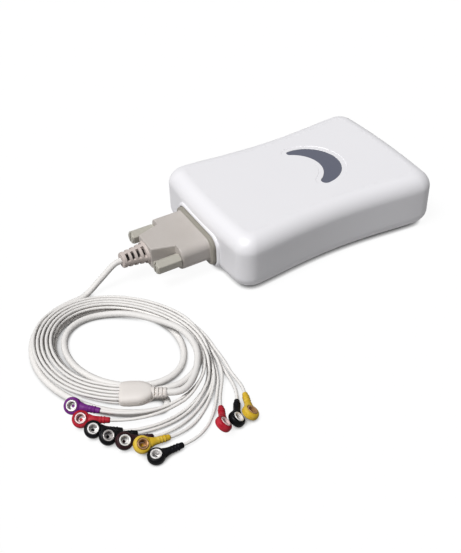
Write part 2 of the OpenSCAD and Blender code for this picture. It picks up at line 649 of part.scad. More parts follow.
// Where each column comes down from the trunk strands to the table
drop_from = [268, 243, 224, 196, 60];
drop_to = [290, 260, 246, 226, 128];
spread_from = [299, 272, 262, 246, 240];
spread_to = [300, 288, 280, 264, 254];
function lead_height(k) = let (c = col_of(k), r = row_of(k), end = c == 0 ? row_z[0] : low_z)
    [[-38, yoke_z + (r == 1 ? exit_rise : -exit_rise)], [15, row_z[r]], [drop_from[c], row_z[r]],
    [drop_to[c], c == 0 ? row_z[0] : down_z[r]], [spread_from[c], c == 0 ? row_z[0] : down_z[r]], [spread_to[c], end]];
last_lane = [292, 292, 277, 277, 277, 277, 262, 247, 247, 247];
tail_rings = [4, 4, 4, 3, 3, 3, 4, 3, 3, 3];
function lead_at(k, t) = lane3(205 - t, flowing(t, lead_lane(k)), stepped(t, lead_height(k)));
function lead_path(k) = let (end = last_lane[k], tail = snap_tail(snaps[k]), d = snap_dir(snaps[k]),
        rise = row_of(k) == 1 ? exit_rise : -exit_rise,
        out = yoke_c - yoke_dir * yoke_l / 2 + yoke_side * (2 - col_of(k)) * exit_pitch + [0, 0, rise])
    concat([out, out - yoke_dir * lead_d], [for (t = [-23:lane_step:end]) lead_at(k, t)],
        swing(lead_at(k, end), unit(lead_at(k, end) - lead_at(k, end - 3)),
            tail + lead_d * d, unit([d[0], d[1], 0]), tail_rings[k]),
        [tail]);
module lead(k) {
    color([0.9, 0.9, 0.89]) tube(lead_path(k), lead_r, 6);
}

module yoke() {
    color([0.9, 0.89, 0.87]) translate(yoke_c) rotate([0, 0, yoke_turn]) {
        sections = [[0, 0.86, 0.8], [0.06, 0.94, 0.92], [0.3, 1, 1], [0.6, 0.97, 1], [0.82, 0.8, 0.94], [0.94, 0.6, 0.84], [1, 0.5, 0.74]];
        n = 24;
        points = [for (s = sections, j = [0:n - 1]) let (w = j * 360 / n, e = 0.7)
            [yoke_l * (s[0] - 0.5), yoke_w / 2 * s[1] * sign(cos(w)) * pow(abs(cos(w)), e),
            yoke_h / 2 * s[2] * sign(sin(w)) * pow(abs(sin(w)), e)]];
        m = len(sections);
        walls = [for (i = [0:m - 2], j = [0:n - 1]) let (a = i * n + j, b = i * n + (j + 1) % n)
            each [[a, a + n, b], [b, a + n, b + n]]];
        polyhedron(points = points, faces = concat(walls, [[for (j = [0:n - 1]) j]],
            [[for (j = [n - 1:-1:0]) (m - 1) * n + j]]), convexity = 2);
    }
}
module yoke_relief() {
    color([0.9, 0.89, 0.87]) translate(yoke_c + yoke_dir * yoke_l / 2) rotate([0, 0, yoke_turn]) rotate([0, 90, 0])
        difference() {
            cylinder(h = relief_l, d1 = relief_d, d2 = trunk_d + 1);
            for (i = [0:2]) translate([0, 0, 1 + i * 2]) difference() {
                cylinder(h = 0.9, d = 10);
                translate([0, 0, -1]) cylinder(h = 3, d = trunk_d + 0.6);
                cube([1.4, 12, 4], center = true);
            }
        }
}

// Snaps: middle of the head, heading of the tail, lean towards the viewer's side, dip of the tail
snaps = [[-184.8, -81.2, 6.3, -42, 40, 2], [-184.2, -89.9, 4.7, -31, 27, 3], [-181.6, -98.7, 4.4, -25, 28, 10.5],
    [-177.1, -106.4, 4.4, -14, 30, 10], [-171.6, -113, 4.4, -11, 30, 10], [-165.3, -119.4, 4.4, -4, 30, 8.5],
    [-162.1, -127.6, 2.6, -1, 4, 1],
    [-127, -129.7, 6.4, 66.4, 42, 13], [-118.9, -128.2, 3.8, 59.7, 38, 9], [-110.9, -127.9, 3.6, 71.1, 32, 6]];
function snap_dir(s) = [cos(s[3]) * cos(s[5]), sin(s[3]) * cos(s[5]), -sin(s[5])];
function snap_tail(s) = [s[0], s[1], s[2]] + tail_l * snap_dir(s);
module at_snap(s) {
    translate([s[0], s[1], s[2]]) rotate([0, s[5], s[3]]) rotate([s[4], 0, 0]) children();
}
// depth of the hole, height of the wires' groove under the stud, and how far the ring stands out
pocket = 3;
seat_h = 0.6;
ring_proud = 0.2;
wire_d = 0.4;
module snap_body(k) {
    at_snap(snaps[k]) difference() {
        union() {
            rotate_extrude() {
                square([snap_d / 2 - snap_round, snap_t / 2]);
                translate([0, -snap_t / 2]) square([snap_d / 2 - snap_round, snap_t / 2 + 0.1]);
                translate([0, -snap_t / 2 + snap_round]) square([snap_d / 2, snap_t - 2 * snap_round]);
                for (y = [-1, 1]) translate([snap_d / 2 - snap_round, y * (snap_t / 2 - snap_round)]) circle(snap_round);
            }
            rotate([0, 90, 0]) cylinder(h = tail_l, d1 = tail_d1, d2 = tail_d2);
        }
        translate([0, 0, snap_t / 2 - pocket]) cylinder(h = pocket + 1, d = stud_d + 2 * ring_wall + 2 * play);
    }
}
module snap_rings() {
    color("white") for (s = snaps) at_snap(s) translate([0, 0, snap_t / 2 - pocket]) difference() {
        cylinder(h = pocket + ring_proud, d = stud_d + 2 * ring_wall);
        translate([0, 0, -1]) cylinder(h = pocket + 3, d = stud_d);
        translate([0, 0, -1]) cylinder(h = 1 + seat_h, d = stud_d + ring_wall);
    }
}
module snap_springs() {
    color("silver") for (s = snaps) at_snap(s) translate([0, 0, snap_t / 2 - pocket]) for (y = [-1, 1])
        intersection() {
            translate([-stud_d, y * stud_d * 0.3, wire_d / 2]) rotate([0, 90, 0]) cylinder(h = 2 * stud_d, d = wire_d);
            cylinder(h = seat_h, d = stud_d + ring_wall);
        }
}

top_cover();
bottom_cover();
indicator_window();
light_pipe();
status_leds();
main_board();
input_shield();
input_resistors();
circuit_chips();
isolation_transformer();
capacitors();
board_screws();
case_screws();
rubber_feet();
usb_socket();
usb_tongue();
socket_shell();
socket_insert();
socket_contacts();
jack_sockets();
plug_hood();
plug_shell();
plug_insert();
plug_pins();
clip(-1);  // near_clip
clip(1);  // far_clip
thumbscrew(-1);  // near_thumbscrew
thumbscrew(1);  // far_thumbscrew
cable_boot();
trunk_free();
trunk_coil();
yoke();
yoke_relief();
lead(0);  // lead_violet
lead(1);  // lead_red_left
lead(2);  // lead_black_a
lead(3);  // lead_black_b
lead(4);  // lead_brown
lead(5);  // lead_yellow_left
lead(6);  // lead_black_c
lead(7);  // lead_red_right
lead(8);  // lead_black_d
lead(9);  // lead_yellow_right
color([0.42, 0.13, 0.47]) snap_body(0);  // snap_violet
color([0.66, 0.11, 0.17]) snap_body(1);  // snap_red_left
color([0.05, 0.05, 0.06]) snap_body(2);  // snap_black_a
color([0.05, 0.05, 0.06]) snap_body(3);  // snap_black_b
color([0.14, 0.06, 0.08]) snap_body(4);  // snap_brown
color([0.82, 0.68, 0.2]) snap_body(5);  // snap_yellow_left
color([0.05, 0.05, 0.06]) snap_body(6);  // snap_black_c
color([0.66, 0.11, 0.17]) snap_body(7);  // snap_red_right
color([0.05, 0.05, 0.06]) snap_body(8);  // snap_black_d
color([0.82, 0.68, 0.2]) snap_body(9);  // snap_yellow_right
snap_rings();
snap_springs();
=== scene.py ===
import math
import bmesh
import bpy
from mathutils import Matrix, Vector


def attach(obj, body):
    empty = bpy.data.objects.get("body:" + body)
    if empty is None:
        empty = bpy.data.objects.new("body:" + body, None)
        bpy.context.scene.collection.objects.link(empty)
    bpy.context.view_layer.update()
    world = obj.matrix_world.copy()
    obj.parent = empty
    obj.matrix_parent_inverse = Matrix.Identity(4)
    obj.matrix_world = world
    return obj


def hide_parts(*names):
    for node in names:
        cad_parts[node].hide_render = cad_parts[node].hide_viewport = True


# A PC-based ECG recorder: a white moulded box, the cable plug screwed into its near end, and the
# patient cable that lies beside it in a coil and ends in ten coloured snap connectors.
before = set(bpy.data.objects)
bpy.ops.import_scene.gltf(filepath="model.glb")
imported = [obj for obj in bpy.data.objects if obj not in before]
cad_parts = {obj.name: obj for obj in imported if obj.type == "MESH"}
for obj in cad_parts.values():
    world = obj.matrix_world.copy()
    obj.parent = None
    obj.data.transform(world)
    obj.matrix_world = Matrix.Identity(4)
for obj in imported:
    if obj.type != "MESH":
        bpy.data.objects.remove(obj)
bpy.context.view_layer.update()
MM = 0.001

# Camera: it stands off the near corner of the plug's end and looks down on the box, whose long
# side runs away to the right. The place was worked out from the photograph's own perspective.
look_at = Vector((-65.32, -28.63, -0.01)) * MM
camera_turn = math.radians(-28.733)
camera_rise = math.radians(39.587)
camera_lean = math.radians(-1.7697)
camera_distance = 516.05 * MM
image_height = 553
focal_pixels = 880
sensor = 36
away = Vector((math.sin(camera_turn) * math.cos(camera_rise),
               -math.cos(camera_turn) * math.cos(camera_rise), math.sin(camera_rise)))
level = Vector((0, 0, 1)).cross(away).normalized()
upright = away.cross(level)
right = math.cos(camera_lean) * level + math.sin(camera_lean) * upright
up = math.cos(camera_lean) * upright - math.sin(camera_lean) * level
lens = bpy.data.cameras.new("camera")
lens.sensor_width = sensor
lens.lens = focal_pixels * sensor / image_height
lens.clip_start = 0.02
lens.clip_end = 20
camera = bpy.data.objects.new("camera", lens)
bpy.context.scene.collection.objects.link(camera)
camera.matrix_world = Matrix.Translation(look_at + away * camera_distance) @ Matrix(
    (right, up, away)).transposed().to_4x4()
bpy.context.scene.camera = camera


# Trunk cable: white PVC, 3.6 mm thick, with all ten wires inside. It leaves the boot, drops to the
# table, runs round the outside, turns back under the yoke and makes three turns of the coil.
def smooth(x):
    c = min(max(x, 0), 1)
    return c * c * (3 - 2 * c)


def stepped(t, keys):
    """Value at t of [t, value] keys, at rest at each key"""
    if t <= keys[0][0]:
        return keys[0][1]
    for (t0, v0), (t1, v1) in zip(keys, keys[1:]):
        if t <= t1:
            return v0 + (v1 - v0) * smooth((t - t0) / (t1 - t0))
    return keys[-1][1]


def slope(keys, j):
    a = max(j - 1, 0)
    b = min(j + 1, len(keys) - 1)
    return (keys[b][1] - keys[a][1]) / (keys[b][0] - keys[a][0])


def flowing(t, keys):
    """Value at t of the smooth curve through [t, value] keys"""
    i = 0
    while i < len(keys) - 2 and t > keys[i + 1][0]:
        i += 1
    h = keys[i + 1][0] - keys[i][0]
    f = min(max((t - keys[i][0]) / h, 0), 1)
    return ((2 * f**3 - 3 * f**2 + 1) * keys[i][1] + (f**3 - 2 * f**2 + f) * slope(keys, i) * h
            + (3 * f**2 - 2 * f**3) * keys[i + 1][1] + (f**3 - f**2) * slope(keys, i + 1) * h)


def curve_through(points, parts):
    """Points of a smooth curve through a list of points, so many to each span"""
    ends = [2 * points[0] - points[1], *points, 2 * points[-1] - points[-2]]
    run = []
    for a, b, c, d in zip(ends, ends[1:], ends[2:], ends[3:]):
        for k in range(parts):
            t = k / parts
            run.append(0.5 * (2 * b + (c - a) * t + (2 * a - 5 * b + 4 * c - d) * t * t
                              + (3 * b - a - 3 * c + d) * t**3))
    return run + [points[-1]]


def swing(a, leaving, b, arriving, parts):
    """Points after a that lead smoothly to b, leaving along one direction, arriving from the other"""
    reach = (b - a).length * 0.36
    p = a + leaving * reach
    q = b + arriving * reach
    run = []
    for i in range(1, parts + 1):
        t = i / parts
        e = 1 - t
        run.append(e**3 * a + 3 * e * e * t * p + 3 * e * t * t * q + t**3 * b)
    return run


# every strand runs in lanes round one oval on the table, clockwise seen from above
coil_middle = Vector((-146, -53, 0))
coil_half_length = 44
coil_half_width = 34
coil_turn = math.radians(119)


def lane(degrees, out, z):
    t = math.radians(degrees) - coil_turn
    x = (coil_half_length + out) * math.cos(t)
    y = (coil_half_width + out) * math.sin(t)
    return coil_middle + Vector((math.cos(coil_turn) * x - math.sin(coil_turn) * y,
                                 math.sin(coil_turn) * x + math.cos(coil_turn) * y, z))


trunk_d = 3.6
rest_z = 1.9
boot_tip = Vector((-120.8, 0, 15.6))
yoke_middle = Vector((-155.2, -91.9, 8.6))
yoke_turn = math.radians(-28)
yoke_dir = Vector((math.cos(yoke_turn), math.sin(yoke_turn), 0))
yoke_side = Vector((-math.sin(yoke_turn), math.cos(yoke_turn), 0))
yoke_l = 16.4
relief_l = 7.1
relief_tip = yoke_middle + yoke_dir * (yoke_l / 2 + relief_l)
start_w = 265
trunk_lane = [[0, -0.8], [60, 1], [115, 2.2], [160, 0.8], [205, -0.5], [245, -0.8], [290, 0.4], [330, -2],
              [360, -5.3], [400, -5.2], [475, -4], [565, -4.9], [605, -5.3], [660, -8.2], [720, -10],
              [790, -9.6], [835, -10], [925, -9.4], [965, -9.8], [1000, -4.9], [1025, -0.6], [1042, 2],
              [1058, 3.6]]
trunk_rise = [[0, rest_z], [900, rest_z], [1012, 9.8], [1035, 9.7], [1058, 8.6]]
last_turn = 1035
turn_out = lane(start_w - 3, 8.5, rest_z)
turn_in = lane(start_w, -0.8, rest_z)
turn_middle = (turn_out + turn_in) / 2
turn_arm = (turn_out - turn_in) / 2
turn_bulge = Vector((-turn_arm.y, turn_arm.x, 0))
joint_dir = -turn_bulge.normalized()
joint = turn_in + joint_dir * trunk_d


def coil_at(t):
    return lane(start_w - t, flowing(t, trunk_lane), stepped(t, trunk_rise))


outside_lane = [[100, 7.2], [130, 7.1], [175, 7.6], [205, 7.6], [250, 8.5]]
drop = [boot_tip, (boot_tip.x - trunk_d, 0, 15.1), (-128, 0, 13), (-132, -0.2, 10), (-136.7, -0.6, 6.8),
        (-141, -1.4, 4.2), (-145, -2.3, 2.5), (-149.5, -3.4, 1.9)]
drop += [lane(w, flowing(w, outside_lane), rest_z) for w in range(100, 236, 15)]
drop += [lane(250, 8.5, rest_z)]
drop += [turn_middle + math.cos(math.radians(w)) * turn_arm + math.sin(math.radians(w)) * turn_bulge
         for w in range(0, 181, 30)]
drop += [joint, joint + joint_dir * trunk_d, coil_at(30), coil_at(45)]
trunk_line = curve_through([Vector(p) for p in drop], 4)
trunk_line += [coil_at(t) for t in range(50, last_turn + 1, 5)]
trunk_line += swing(coil_at(last_turn), (coil_at(last_turn) - coil_at(last_turn - 3)).normalized(),
                    relief_tip + yoke_dir * trunk_d, yoke_dir, 12) + [relief_tip]


def jacket(name, line, diameter):
    """A round cable: one open spline along the line, with a round bevel and closed ends"""
    shape = bpy.data.curves.new(name, "CURVE")
    shape.dimensions = "3D"
    shape.bevel_depth = diameter / 2 * MM
    shape.bevel_resolution = 4
    shape.use_fill_caps = True
    run = shape.splines.new("POLY")
    run.points.add(len(line) - 1)
    for point, place in zip(run.points, line):
        point.co = (*(place * MM), 1)
    run.use_smooth = True
    piece = bpy.data.objects.new(name, shape)
    bpy.context.scene.collection.objects.link(piece)
    return piece


def linear(hex_colour):
    """An sRGB hex colour as the linear values that a socket takes"""
    parts = [int(hex_colour[i:i + 2], 16) / 255 for i in (1, 3, 5)]
    return [*(c / 12.92 if c <= 0.04045 else ((c + 0.055) / 1.055) ** 2.4 for c in parts), 1]


def socket(sockets, name):
    """The socket of that name that the node's settings leave in use"""
    return next(s for s in sockets if s.name == name and s.enabled)


def add(tree, kind, settings=(), links=()):
    """Adds a node with its settings and incoming links, and gives its first output that is in use"""
    node = tree.nodes.new(kind)
    for name, value in dict(settings).items():
        if name[0].islower():
            setattr(node, name, value)
        else:
            socket(node.inputs, name).default_value = value
    for name, source in dict(links).items():
        tree.links.new(source, socket(node.inputs, name))
    return next(s for s in node.outputs if s.enabled)


def new_finish(name, **constants):
    """A new material, its node tree and the object's own coordinates, with the shader's constants set"""
    material = bpy.data.materials.new(name)
    material.use_nodes = True
    tree = material.node_tree
    for word, value in constants.items():
        name_on_shader = word.replace("_", " ").title().replace("Ior", "IOR")
        tree.nodes["Principled BSDF"].inputs[name_on_shader].default_value = value
    return material, tree, add(tree, "ShaderNodeTexCoord").node.outputs["Object"]


def to_shader(tree, **sources):
    """Links colour, roughness, bump and the like to the surface shader"""
    for word, source in sources.items():
        tree.links.new(source, tree.nodes["Principled BSDF"].inputs[word.replace("_", " ").title()])


def across(size):
    """The scale of a texture whose patches or grains are so many millimetres across"""
    return 1 / (size * MM)


def patterned(name, tones, patches, grain, bump, sheen, kept=(0, 1), **constants):
    """A finish whose tone and roughness change in patches, over a finer grain. A pattern is its kind
    of texture, its size and its settings; a bump is its strength and its depth. Sizes in millimetres"""
    material, tree, place = new_finish(name, **constants)
    kind, size, settings = patches
    patch = add(tree, "ShaderNodeTex" + kind, {"Scale": across(size), **settings}, {"Vector": place})
    share = add(tree, "ShaderNodeMapRange", {"From Min": kept[0], "From Max": kept[1]}, {"Value": patch})
    tint = add(tree, "ShaderNodeMix", {"data_type": "RGBA", "A": linear(tones[0]), "B": linear(tones[1])},
               {"Factor": share})
    kind, size, settings = grain
    fine = add(tree, "ShaderNodeTex" + kind, {"Scale": across(size), **settings}, {"Vector": place})
    relief = add(tree, "ShaderNodeBump", {"Strength": bump[0], "Distance": bump[1] * MM}, {"Height": fine})
    rough = add(tree, "ShaderNodeMapRange", {"To Min": sheen[0], "To Max": sheen[1]}, {"Value": share})
    to_shader(tree, base_color=tint, roughness=rough, normal=relief)
    return material, tree, place, tint


# cable PVC, extruded: a soft satin white with a hint of warmth, greyer in long patches where hands
# have rubbed it, and a very fine pebble that breaks up the highlight along the top of each strand
def cable_pvc(name, tones):
    return patterned(name, tones, ("Noise", 22.2, {"Detail": 3, "Roughness": 0.6}),
                     ("Noise", 0.909, {"Detail": 2}), (0.15, 0.2), (0.36, 0.52), specular_ior_level=0.22)[0]


trunk_cable = jacket("trunk_cable", trunk_line, trunk_d)
trunk_cable.data.materials.append(cable_pvc("cable_pvc_satin_white", ("#EEECEA", "#E0DDDA")))
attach(trunk_cable, "plug")
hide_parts("trunk_free", "trunk_coil")


# Yoke and its relief: a pillow-shaped white moulding where the trunk's ten wires part. Two halves
# were moulded round the wires, and a short ribbed sleeve on the trunk's side lets the cable bend.
def clear_selection():
    bpy.ops.object.select_all(action="DESELECT")


def active(piece):
    clear_selection()
    piece.select_set(True)
    bpy.context.view_layer.objects.active = piece


def start_ring(name, points):
    """A circle primitive whose vertices are laid on a ring of points, left open in edit mode"""
    clear_selection()
    bpy.ops.mesh.primitive_circle_add(vertices=len(points), radius=MM)
    piece = bpy.context.object
    piece.name = piece.data.name = name
    bpy.ops.object.mode_set(mode="EDIT")
    bpy.ops.mesh.select_mode(type="VERT")
    mesh = bmesh.from_edit_mesh(piece.data)
    for vertex, place in zip(mesh.verts, points):
        vertex.co = place * MM
    return piece, mesh


def lofted(name, rings):
    """A skin over rings of points: the first ring is extruded on to each of the others in turn"""
    piece, mesh = start_ring(name, rings[0])
    line = first = list(mesh.verts)
    for points in rings[1:]:
        bpy.ops.mesh.extrude_edges_indiv()
        line = [next(e.other_vert(v) for e in v.link_edges if e.other_vert(v).select) for v in line]
        for vertex, place in zip(line, points):
            vertex.co = place * MM
    for end in (line, first):
        bpy.ops.mesh.select_all(action="DESELECT")
        for vertex in end:
            vertex.select = True
        mesh.select_flush(True)
        bpy.ops.mesh.edge_face_add()
    bpy.ops.mesh.select_all(action="SELECT")
    bpy.ops.mesh.normals_make_consistent(inside=False)
    bpy.ops.object.mode_set(mode="OBJECT")
    return piece


def turned(name, outline, steps=48):
    """A piece turned round the Z axis from a closed outline of (radius, height) points"""
    piece, mesh = start_ring(name, [Vector((r, 0, z)) for r, z in outline])
    bpy.ops.mesh.spin(steps=steps, angle=math.tau, center=(0, 0, 0), axis=(0, 0, 1))
    bpy.ops.mesh.select_all(action="SELECT")
    bpy.ops.mesh.remove_doubles(threshold=1e-6)
    bpy.ops.mesh.delete_loose()
    bpy.ops.mesh.select_all(action="SELECT")
    bpy.ops.mesh.normals_make_consistent(inside=False)
    bpy.ops.object.mode_set(mode="OBJECT")
    return piece


def placed(piece, *steps):
    """Moves a piece's mesh through each step in turn, so that the object itself stays at the origin"""
    for step in steps:
        piece.data.transform(step)
    return piece


def shift(x, y, z):
    return Matrix.Translation(Vector((x, y, z)) * MM)


def turn(degrees, axis):
    return Matrix.Rotation(math.radians(degrees), 4, axis)


def worked(piece, kind, **settings):
    """Gives a piece one modifier and applies it"""
    change = piece.modifiers.new(kind.lower(), kind)
    for word, value in settings.items():
        setattr(change, word, value)
    active(piece)
    bpy.ops.object.modifier_apply(modifier=change.name)
    return piece


def cut(piece, *tools, operation="DIFFERENCE"):
    """Cuts each tool out of a piece, or joins it on, and takes the tool away"""
    for tool in tools:
        worked(piece, "BOOLEAN", operation=operation, solver="EXACT", object=tool)
        bpy.data.objects.remove(tool)
    return piece


def joined(*pieces):
    """Several solids as one object, the first one's"""
    active(pieces[0])
    for piece in pieces:
        piece.select_set(True)
    bpy.ops.object.join()
    return pieces[0]


def shaded(piece, degrees=32):
    """Smooth shading that keeps edges sharper than the angle"""
    active(piece)
    bpy.ops.object.shade_smooth_by_angle(angle=math.radians(degrees))
    return worked(piece, "WEIGHTED_NORMAL", keep_sharp=True, weight=60)


def finish_piece(piece, body, slot, material, *nodes):
    """Gives a modelled piece its material, hangs it under its body and hides the CAD solids it replaces"""
    if material:
        piece.data.materials.clear()
        piece.data.materials.append(material)
    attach(piece, body)
    if nodes:
        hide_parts(*nodes)


def ellipse(a, b, steps):
    """Points round an ellipse of two half widths"""
    angles = [j * math.tau / steps for j in range(steps)]
    return [(a * math.cos(w), b * math.sin(w)) for w in angles]


def pillowed(c):
    """A circle's coordinate bulged out towards the corners, as on a pillow"""
    return math.copysign(abs(c)**0.7, c)


yoke_w = 14.4
yoke_h = 7.6
seam_half_w = 0.12
seam_floor = 0.965
# each section along the yoke: share of its length, of its width and of its height
yoke_form = [[0, 0.7, 0.62], [0.015, 0.8, 0.73], [0.05, 0.91, 0.87], [0.12, 0.965, 0.95], [0.3, 1, 1],
             [0.6, 0.97, 1], [0.72, 0.9, 0.98], [0.82, 0.8, 0.94], [0.9, 0.68, 0.89], [0.96, 0.57, 0.82],
             [0.99, 0.5, 0.74], [1, 0.44, 0.66]]
to_yoke = Matrix.Translation(yoke_middle * MM) @ turn(math.degrees(yoke_turn), "Z")
yoke_rings = []
for along, wide, high in yoke_form:
    yoke_rings.append([Vector((yoke_l * (along - 0.5), yoke_w / 2 * wide * pillowed(y),
                               yoke_h / 2 * high * pillowed(z))) for y, z in ellipse(1, 1, 48)])
yoke = placed(lofted("wire_yoke", yoke_rings), to_yoke)
# the parting line of the two halves: a fine groove right round the yoke at mid height
seam_outline = [(5, -seam_half_w), (30, -seam_half_w), (30, seam_half_w), (5, seam_half_w)]
yoke_seam = placed(turned("yoke_seam", seam_outline), to_yoke)
yoke_core = placed(lofted("yoke_core", [[p * seam_floor for p in ring] for ring in yoke_rings]), to_yoke)
cut(yoke_seam, yoke_core)
shaded(cut(yoke, yoke_seam), 40)


def cut_slots(sleeve, slots, slot_width, bridge, bridge_turns):
    """Cuts rows of slots into a sleeve along Z, each down to its own core, between upright bridges"""
    beyond = 12
    half = bridge / 2
    web_outline = ((-half, -beyond - 8), (half, -beyond - 8), (half, beyond + 8), (-half, beyond + 8))
    for z, core in slots:
        tool = turned("slot", [(core, z), (beyond, z), (beyond, z + slot_width), (core, z + slot_width)], 56)
        for w in bridge_turns:
            web = lofted("web", [[Vector((x, y, h)) for x, y in web_outline]
                                 for h in (z - 1, z + slot_width + 1)])
            cut(tool, placed(web, turn(w, "Z")))
        cut(sleeve, tool)
    return sleeve


relief_d = 6.4
relief_profile = [(0, -0.3), (relief_d / 2, -0.3), (relief_d / 2, 0.1), (trunk_d / 2 + 0.62, relief_l - 0.25),
                  (trunk_d / 2 + 0.45, relief_l), (0, relief_l)]
relief_slots = [(z, trunk_d / 2 + 0.3) for z in (1, 3, 5)]
relief = cut_slots(turned("ribbed_relief", relief_profile, 56), relief_slots, 0.9, 1.4, [0])
placed(relief, turn(90, "Y"), shift(yoke_l / 2, 0, 0), to_yoke)
shaded(relief)

# flexible PVC over-moulding: warm ivory, matt, faintly mottled where the melt cooled, with a grain
# like fine leather left by the tool
yoke_pvc = patterned("moulded_pvc_ivory", ("#E9E4E0", "#DFD8D3"), ("Noise", 11.1, {"Detail": 4}),
                     ("Voronoi", 0.625, {}), (0.2, 0.1), (0.46, 0.6), specular_ior_level=0.35)[0]
finish_piece(yoke, "plug", "yoke_white", yoke_pvc, "yoke")
finish_piece(relief, "plug", "cable_white", yoke_pvc, "yoke_relief")


# Snap connectors: ten round PVC heads, each moulded over a metal ring with a two-legged spring wire,
# with a stub that holds its lead. They press on to the 4 mm studs of disposable electrodes.
snap_d = 8.8
snap_t = 4
snap_round = 1.5
tail_l = 14.2
ring_d = 5.6
stud_d = 4
pocket_z = snap_t / 2 - 3
# name, middle of the head, heading of the stub, lean of the head and dip of the stub in degrees
snaps = [("violet", (-184.8, -81.2, 6.3), -42, 40, 2), ("red_left", (-184.2, -89.9, 4.7), -31, 27, 3),
         ("black_a", (-181.6, -98.7, 4.4), -25, 28, 10.5), ("black_b", (-177.1, -106.4, 4.4), -14, 30, 10),
         ("brown", (-171.6, -113, 4.4), -11, 30, 10), ("yellow_left", (-165.3, -119.4, 4.4), -4, 30, 8.5),
         ("black_c", (-162.1, -127.6, 2.6), -1, 4, 1), ("red_right", (-127, -129.7, 6.4), 66.4, 42, 13),
         ("black_d", (-118.9, -128.2, 3.8), 59.7, 38, 9),
         ("yellow_right", (-110.9, -127.9, 3.6), 71.1, 32, 6)]


def at_snap(snap):
    name, head, heading, lean, dip = snap
    return shift(*head) @ turn(heading, "Z") @ turn(dip, "Y") @ turn(lean, "X")


def rim_arc(first, last, z):
    """Points of the head's rounded rim from one angle to another"""
    steps = 6
    run = []
    for i in range(steps + 1):
        w = math.radians(first + (last - first) * i / steps)
        run.append((snap_d / 2 - snap_round + snap_round * math.cos(w), z + snap_round * math.sin(w)))
    return run


rim_z = snap_t / 2 - snap_round
pocket_floor = pocket_z - 0.12
head = turned("snap_head", [(0, -snap_t / 2), *rim_arc(-90, 0, -rim_z), *rim_arc(0, 84, rim_z),
                            (ring_d / 2 + 0.05, pocket_floor), (0, pocket_floor)], 56)
# each section along the stub: distance from the head's middle, half its width and half its height
stub_form = [(3.25, 2.9, 1.6), (4, 2.75, 1.72), (4.8, 2.4, 1.78), (5.8, 2.05, 1.78), (7, 1.85, 1.72),
             (10, 1.68, 1.6), (tail_l - 0.6, 1.48, 1.45), (tail_l - 0.2, 1.4, 1.36), (tail_l, 1.15, 1.12)]
cut(head, lofted("snap_stub", [[Vector((x, y, z)) for y, z in ellipse(wide, high, 28)]
                               for x, wide, high in stub_form]), operation="UNION")
# three grip rings round the stub, as thin raised bands
band_outline = [(1, -0.35), (1.72, -0.35), (1.86, -0.15), (1.86, 0.15), (1.72, 0.35), (1, 0.35)]
for x in (8.2, 9.8, 11.4):
    band = turned("snap_band", band_outline, 28)
    cut(head, placed(band, turn(90, "Y"), shift(x, 0, 0)), operation="UNION")
shaded(head, 38)


# coloured PVC, moulded: saturated and satin, worn a little paler and glossier in patches 3 mm across
# where fingers grip, over a grain of 0.4 mm
def snap_pvc(name, *tones):
    return patterned(name, tones, ("Noise", 3.125, {"Detail": 3, "Roughness": 0.55}),
                     ("Noise", 0.385, {"Detail": 2}), (0.2, 0.1), (0.46, 0.32), kept=(0.42, 0.68),
                     specular_ior_level=0.1)[0]


snap_finish = {"violet": snap_pvc("snap_pvc_violet", "#6A2478", "#7C3A8A"),
               "red": snap_pvc("snap_pvc_red", "#A81B2B", "#BC3440"),
               "black": snap_pvc("snap_pvc_black", "#08080A", "#16161B"),
               "brown": snap_pvc("snap_pvc_dark_brown", "#2A1519", "#3E262A"),
               "yellow": snap_pvc("snap_pvc_yellow", "#D3AE31", "#DFC052")}


# ring metals as the photograph shows them: bright and dull nickel, nickel with a painted pink glare, and worn
# brass.
# Stamped and tumbled, so each is satin with round dents 0.7 mm apart. The room mirrored in them is
# white, so they look white rather than grey, and the shader's metallic share is low
def ring_metal(name, metallic, *tones):
    return patterned(name, tones, ("Noise", 1.43, {"Detail": 4}), ("Voronoi", 0.667, {}), (0.15, 0.1),
                     (0.28, 0.45), metallic=metallic)[0]


nickel = ring_metal("ring_nickel_tumbled", 0.12, "#F0EEEC", "#DEDBDA")
# nickel with a painted pink glare, for the rings of the red snaps
nickel_with_painted_glare = ring_metal("ring_nickel_painted_pink_glare", 0.12, "#EBCFCE", "#DCBBBB")
grey_nickel = ring_metal("ring_nickel_dull", 0.3, "#BEBAB8", "#A6A2A1")
worn_brass = ring_metal("ring_brass_worn", 0.4, "#C59B6C", "#A67A50")
ring_finish = {"red_left": nickel_with_painted_glare, "red_right": nickel_with_painted_glare, "yellow_left": worn_brass,
               "yellow_right": worn_brass, "black_b": grey_nickel}
# the ring is a cup: a rounded lip, a wall round the stud, a groove for the spring, and a floor with
# an eyelet in its middle
eyelet_r = 0.8
ring_r = ring_d / 2
stud_r = stud_d / 2
face_z = snap_t / 2
ring_outline = [(ring_r, pocket_z - 0.1), (ring_r, face_z), (ring_r - 0.08, face_z + 0.14),
                (ring_r - 0.22, face_z + 0.2), (stud_r + 0.35, face_z + 0.2), (stud_r + 0.1, face_z + 0.08),
                (stud_r, face_z - 0.25), (stud_r, pocket_z + 0.6), (stud_r + 0.5, pocket_z + 0.6),
                (stud_r + 0.5, pocket_z - 0.02), (eyelet_r, pocket_z - 0.02), (eyelet_r, pocket_z - 0.1)]
ring_start = shaded(turned("ring_start", ring_outline, 40), 40)


def copied(piece, name):
    """A copy of a piece with a mesh of its own"""
    twin = bpy.data.objects.new(name, piece.data.copy())
    bpy.context.scene.collection.objects.link(twin)
    return twin


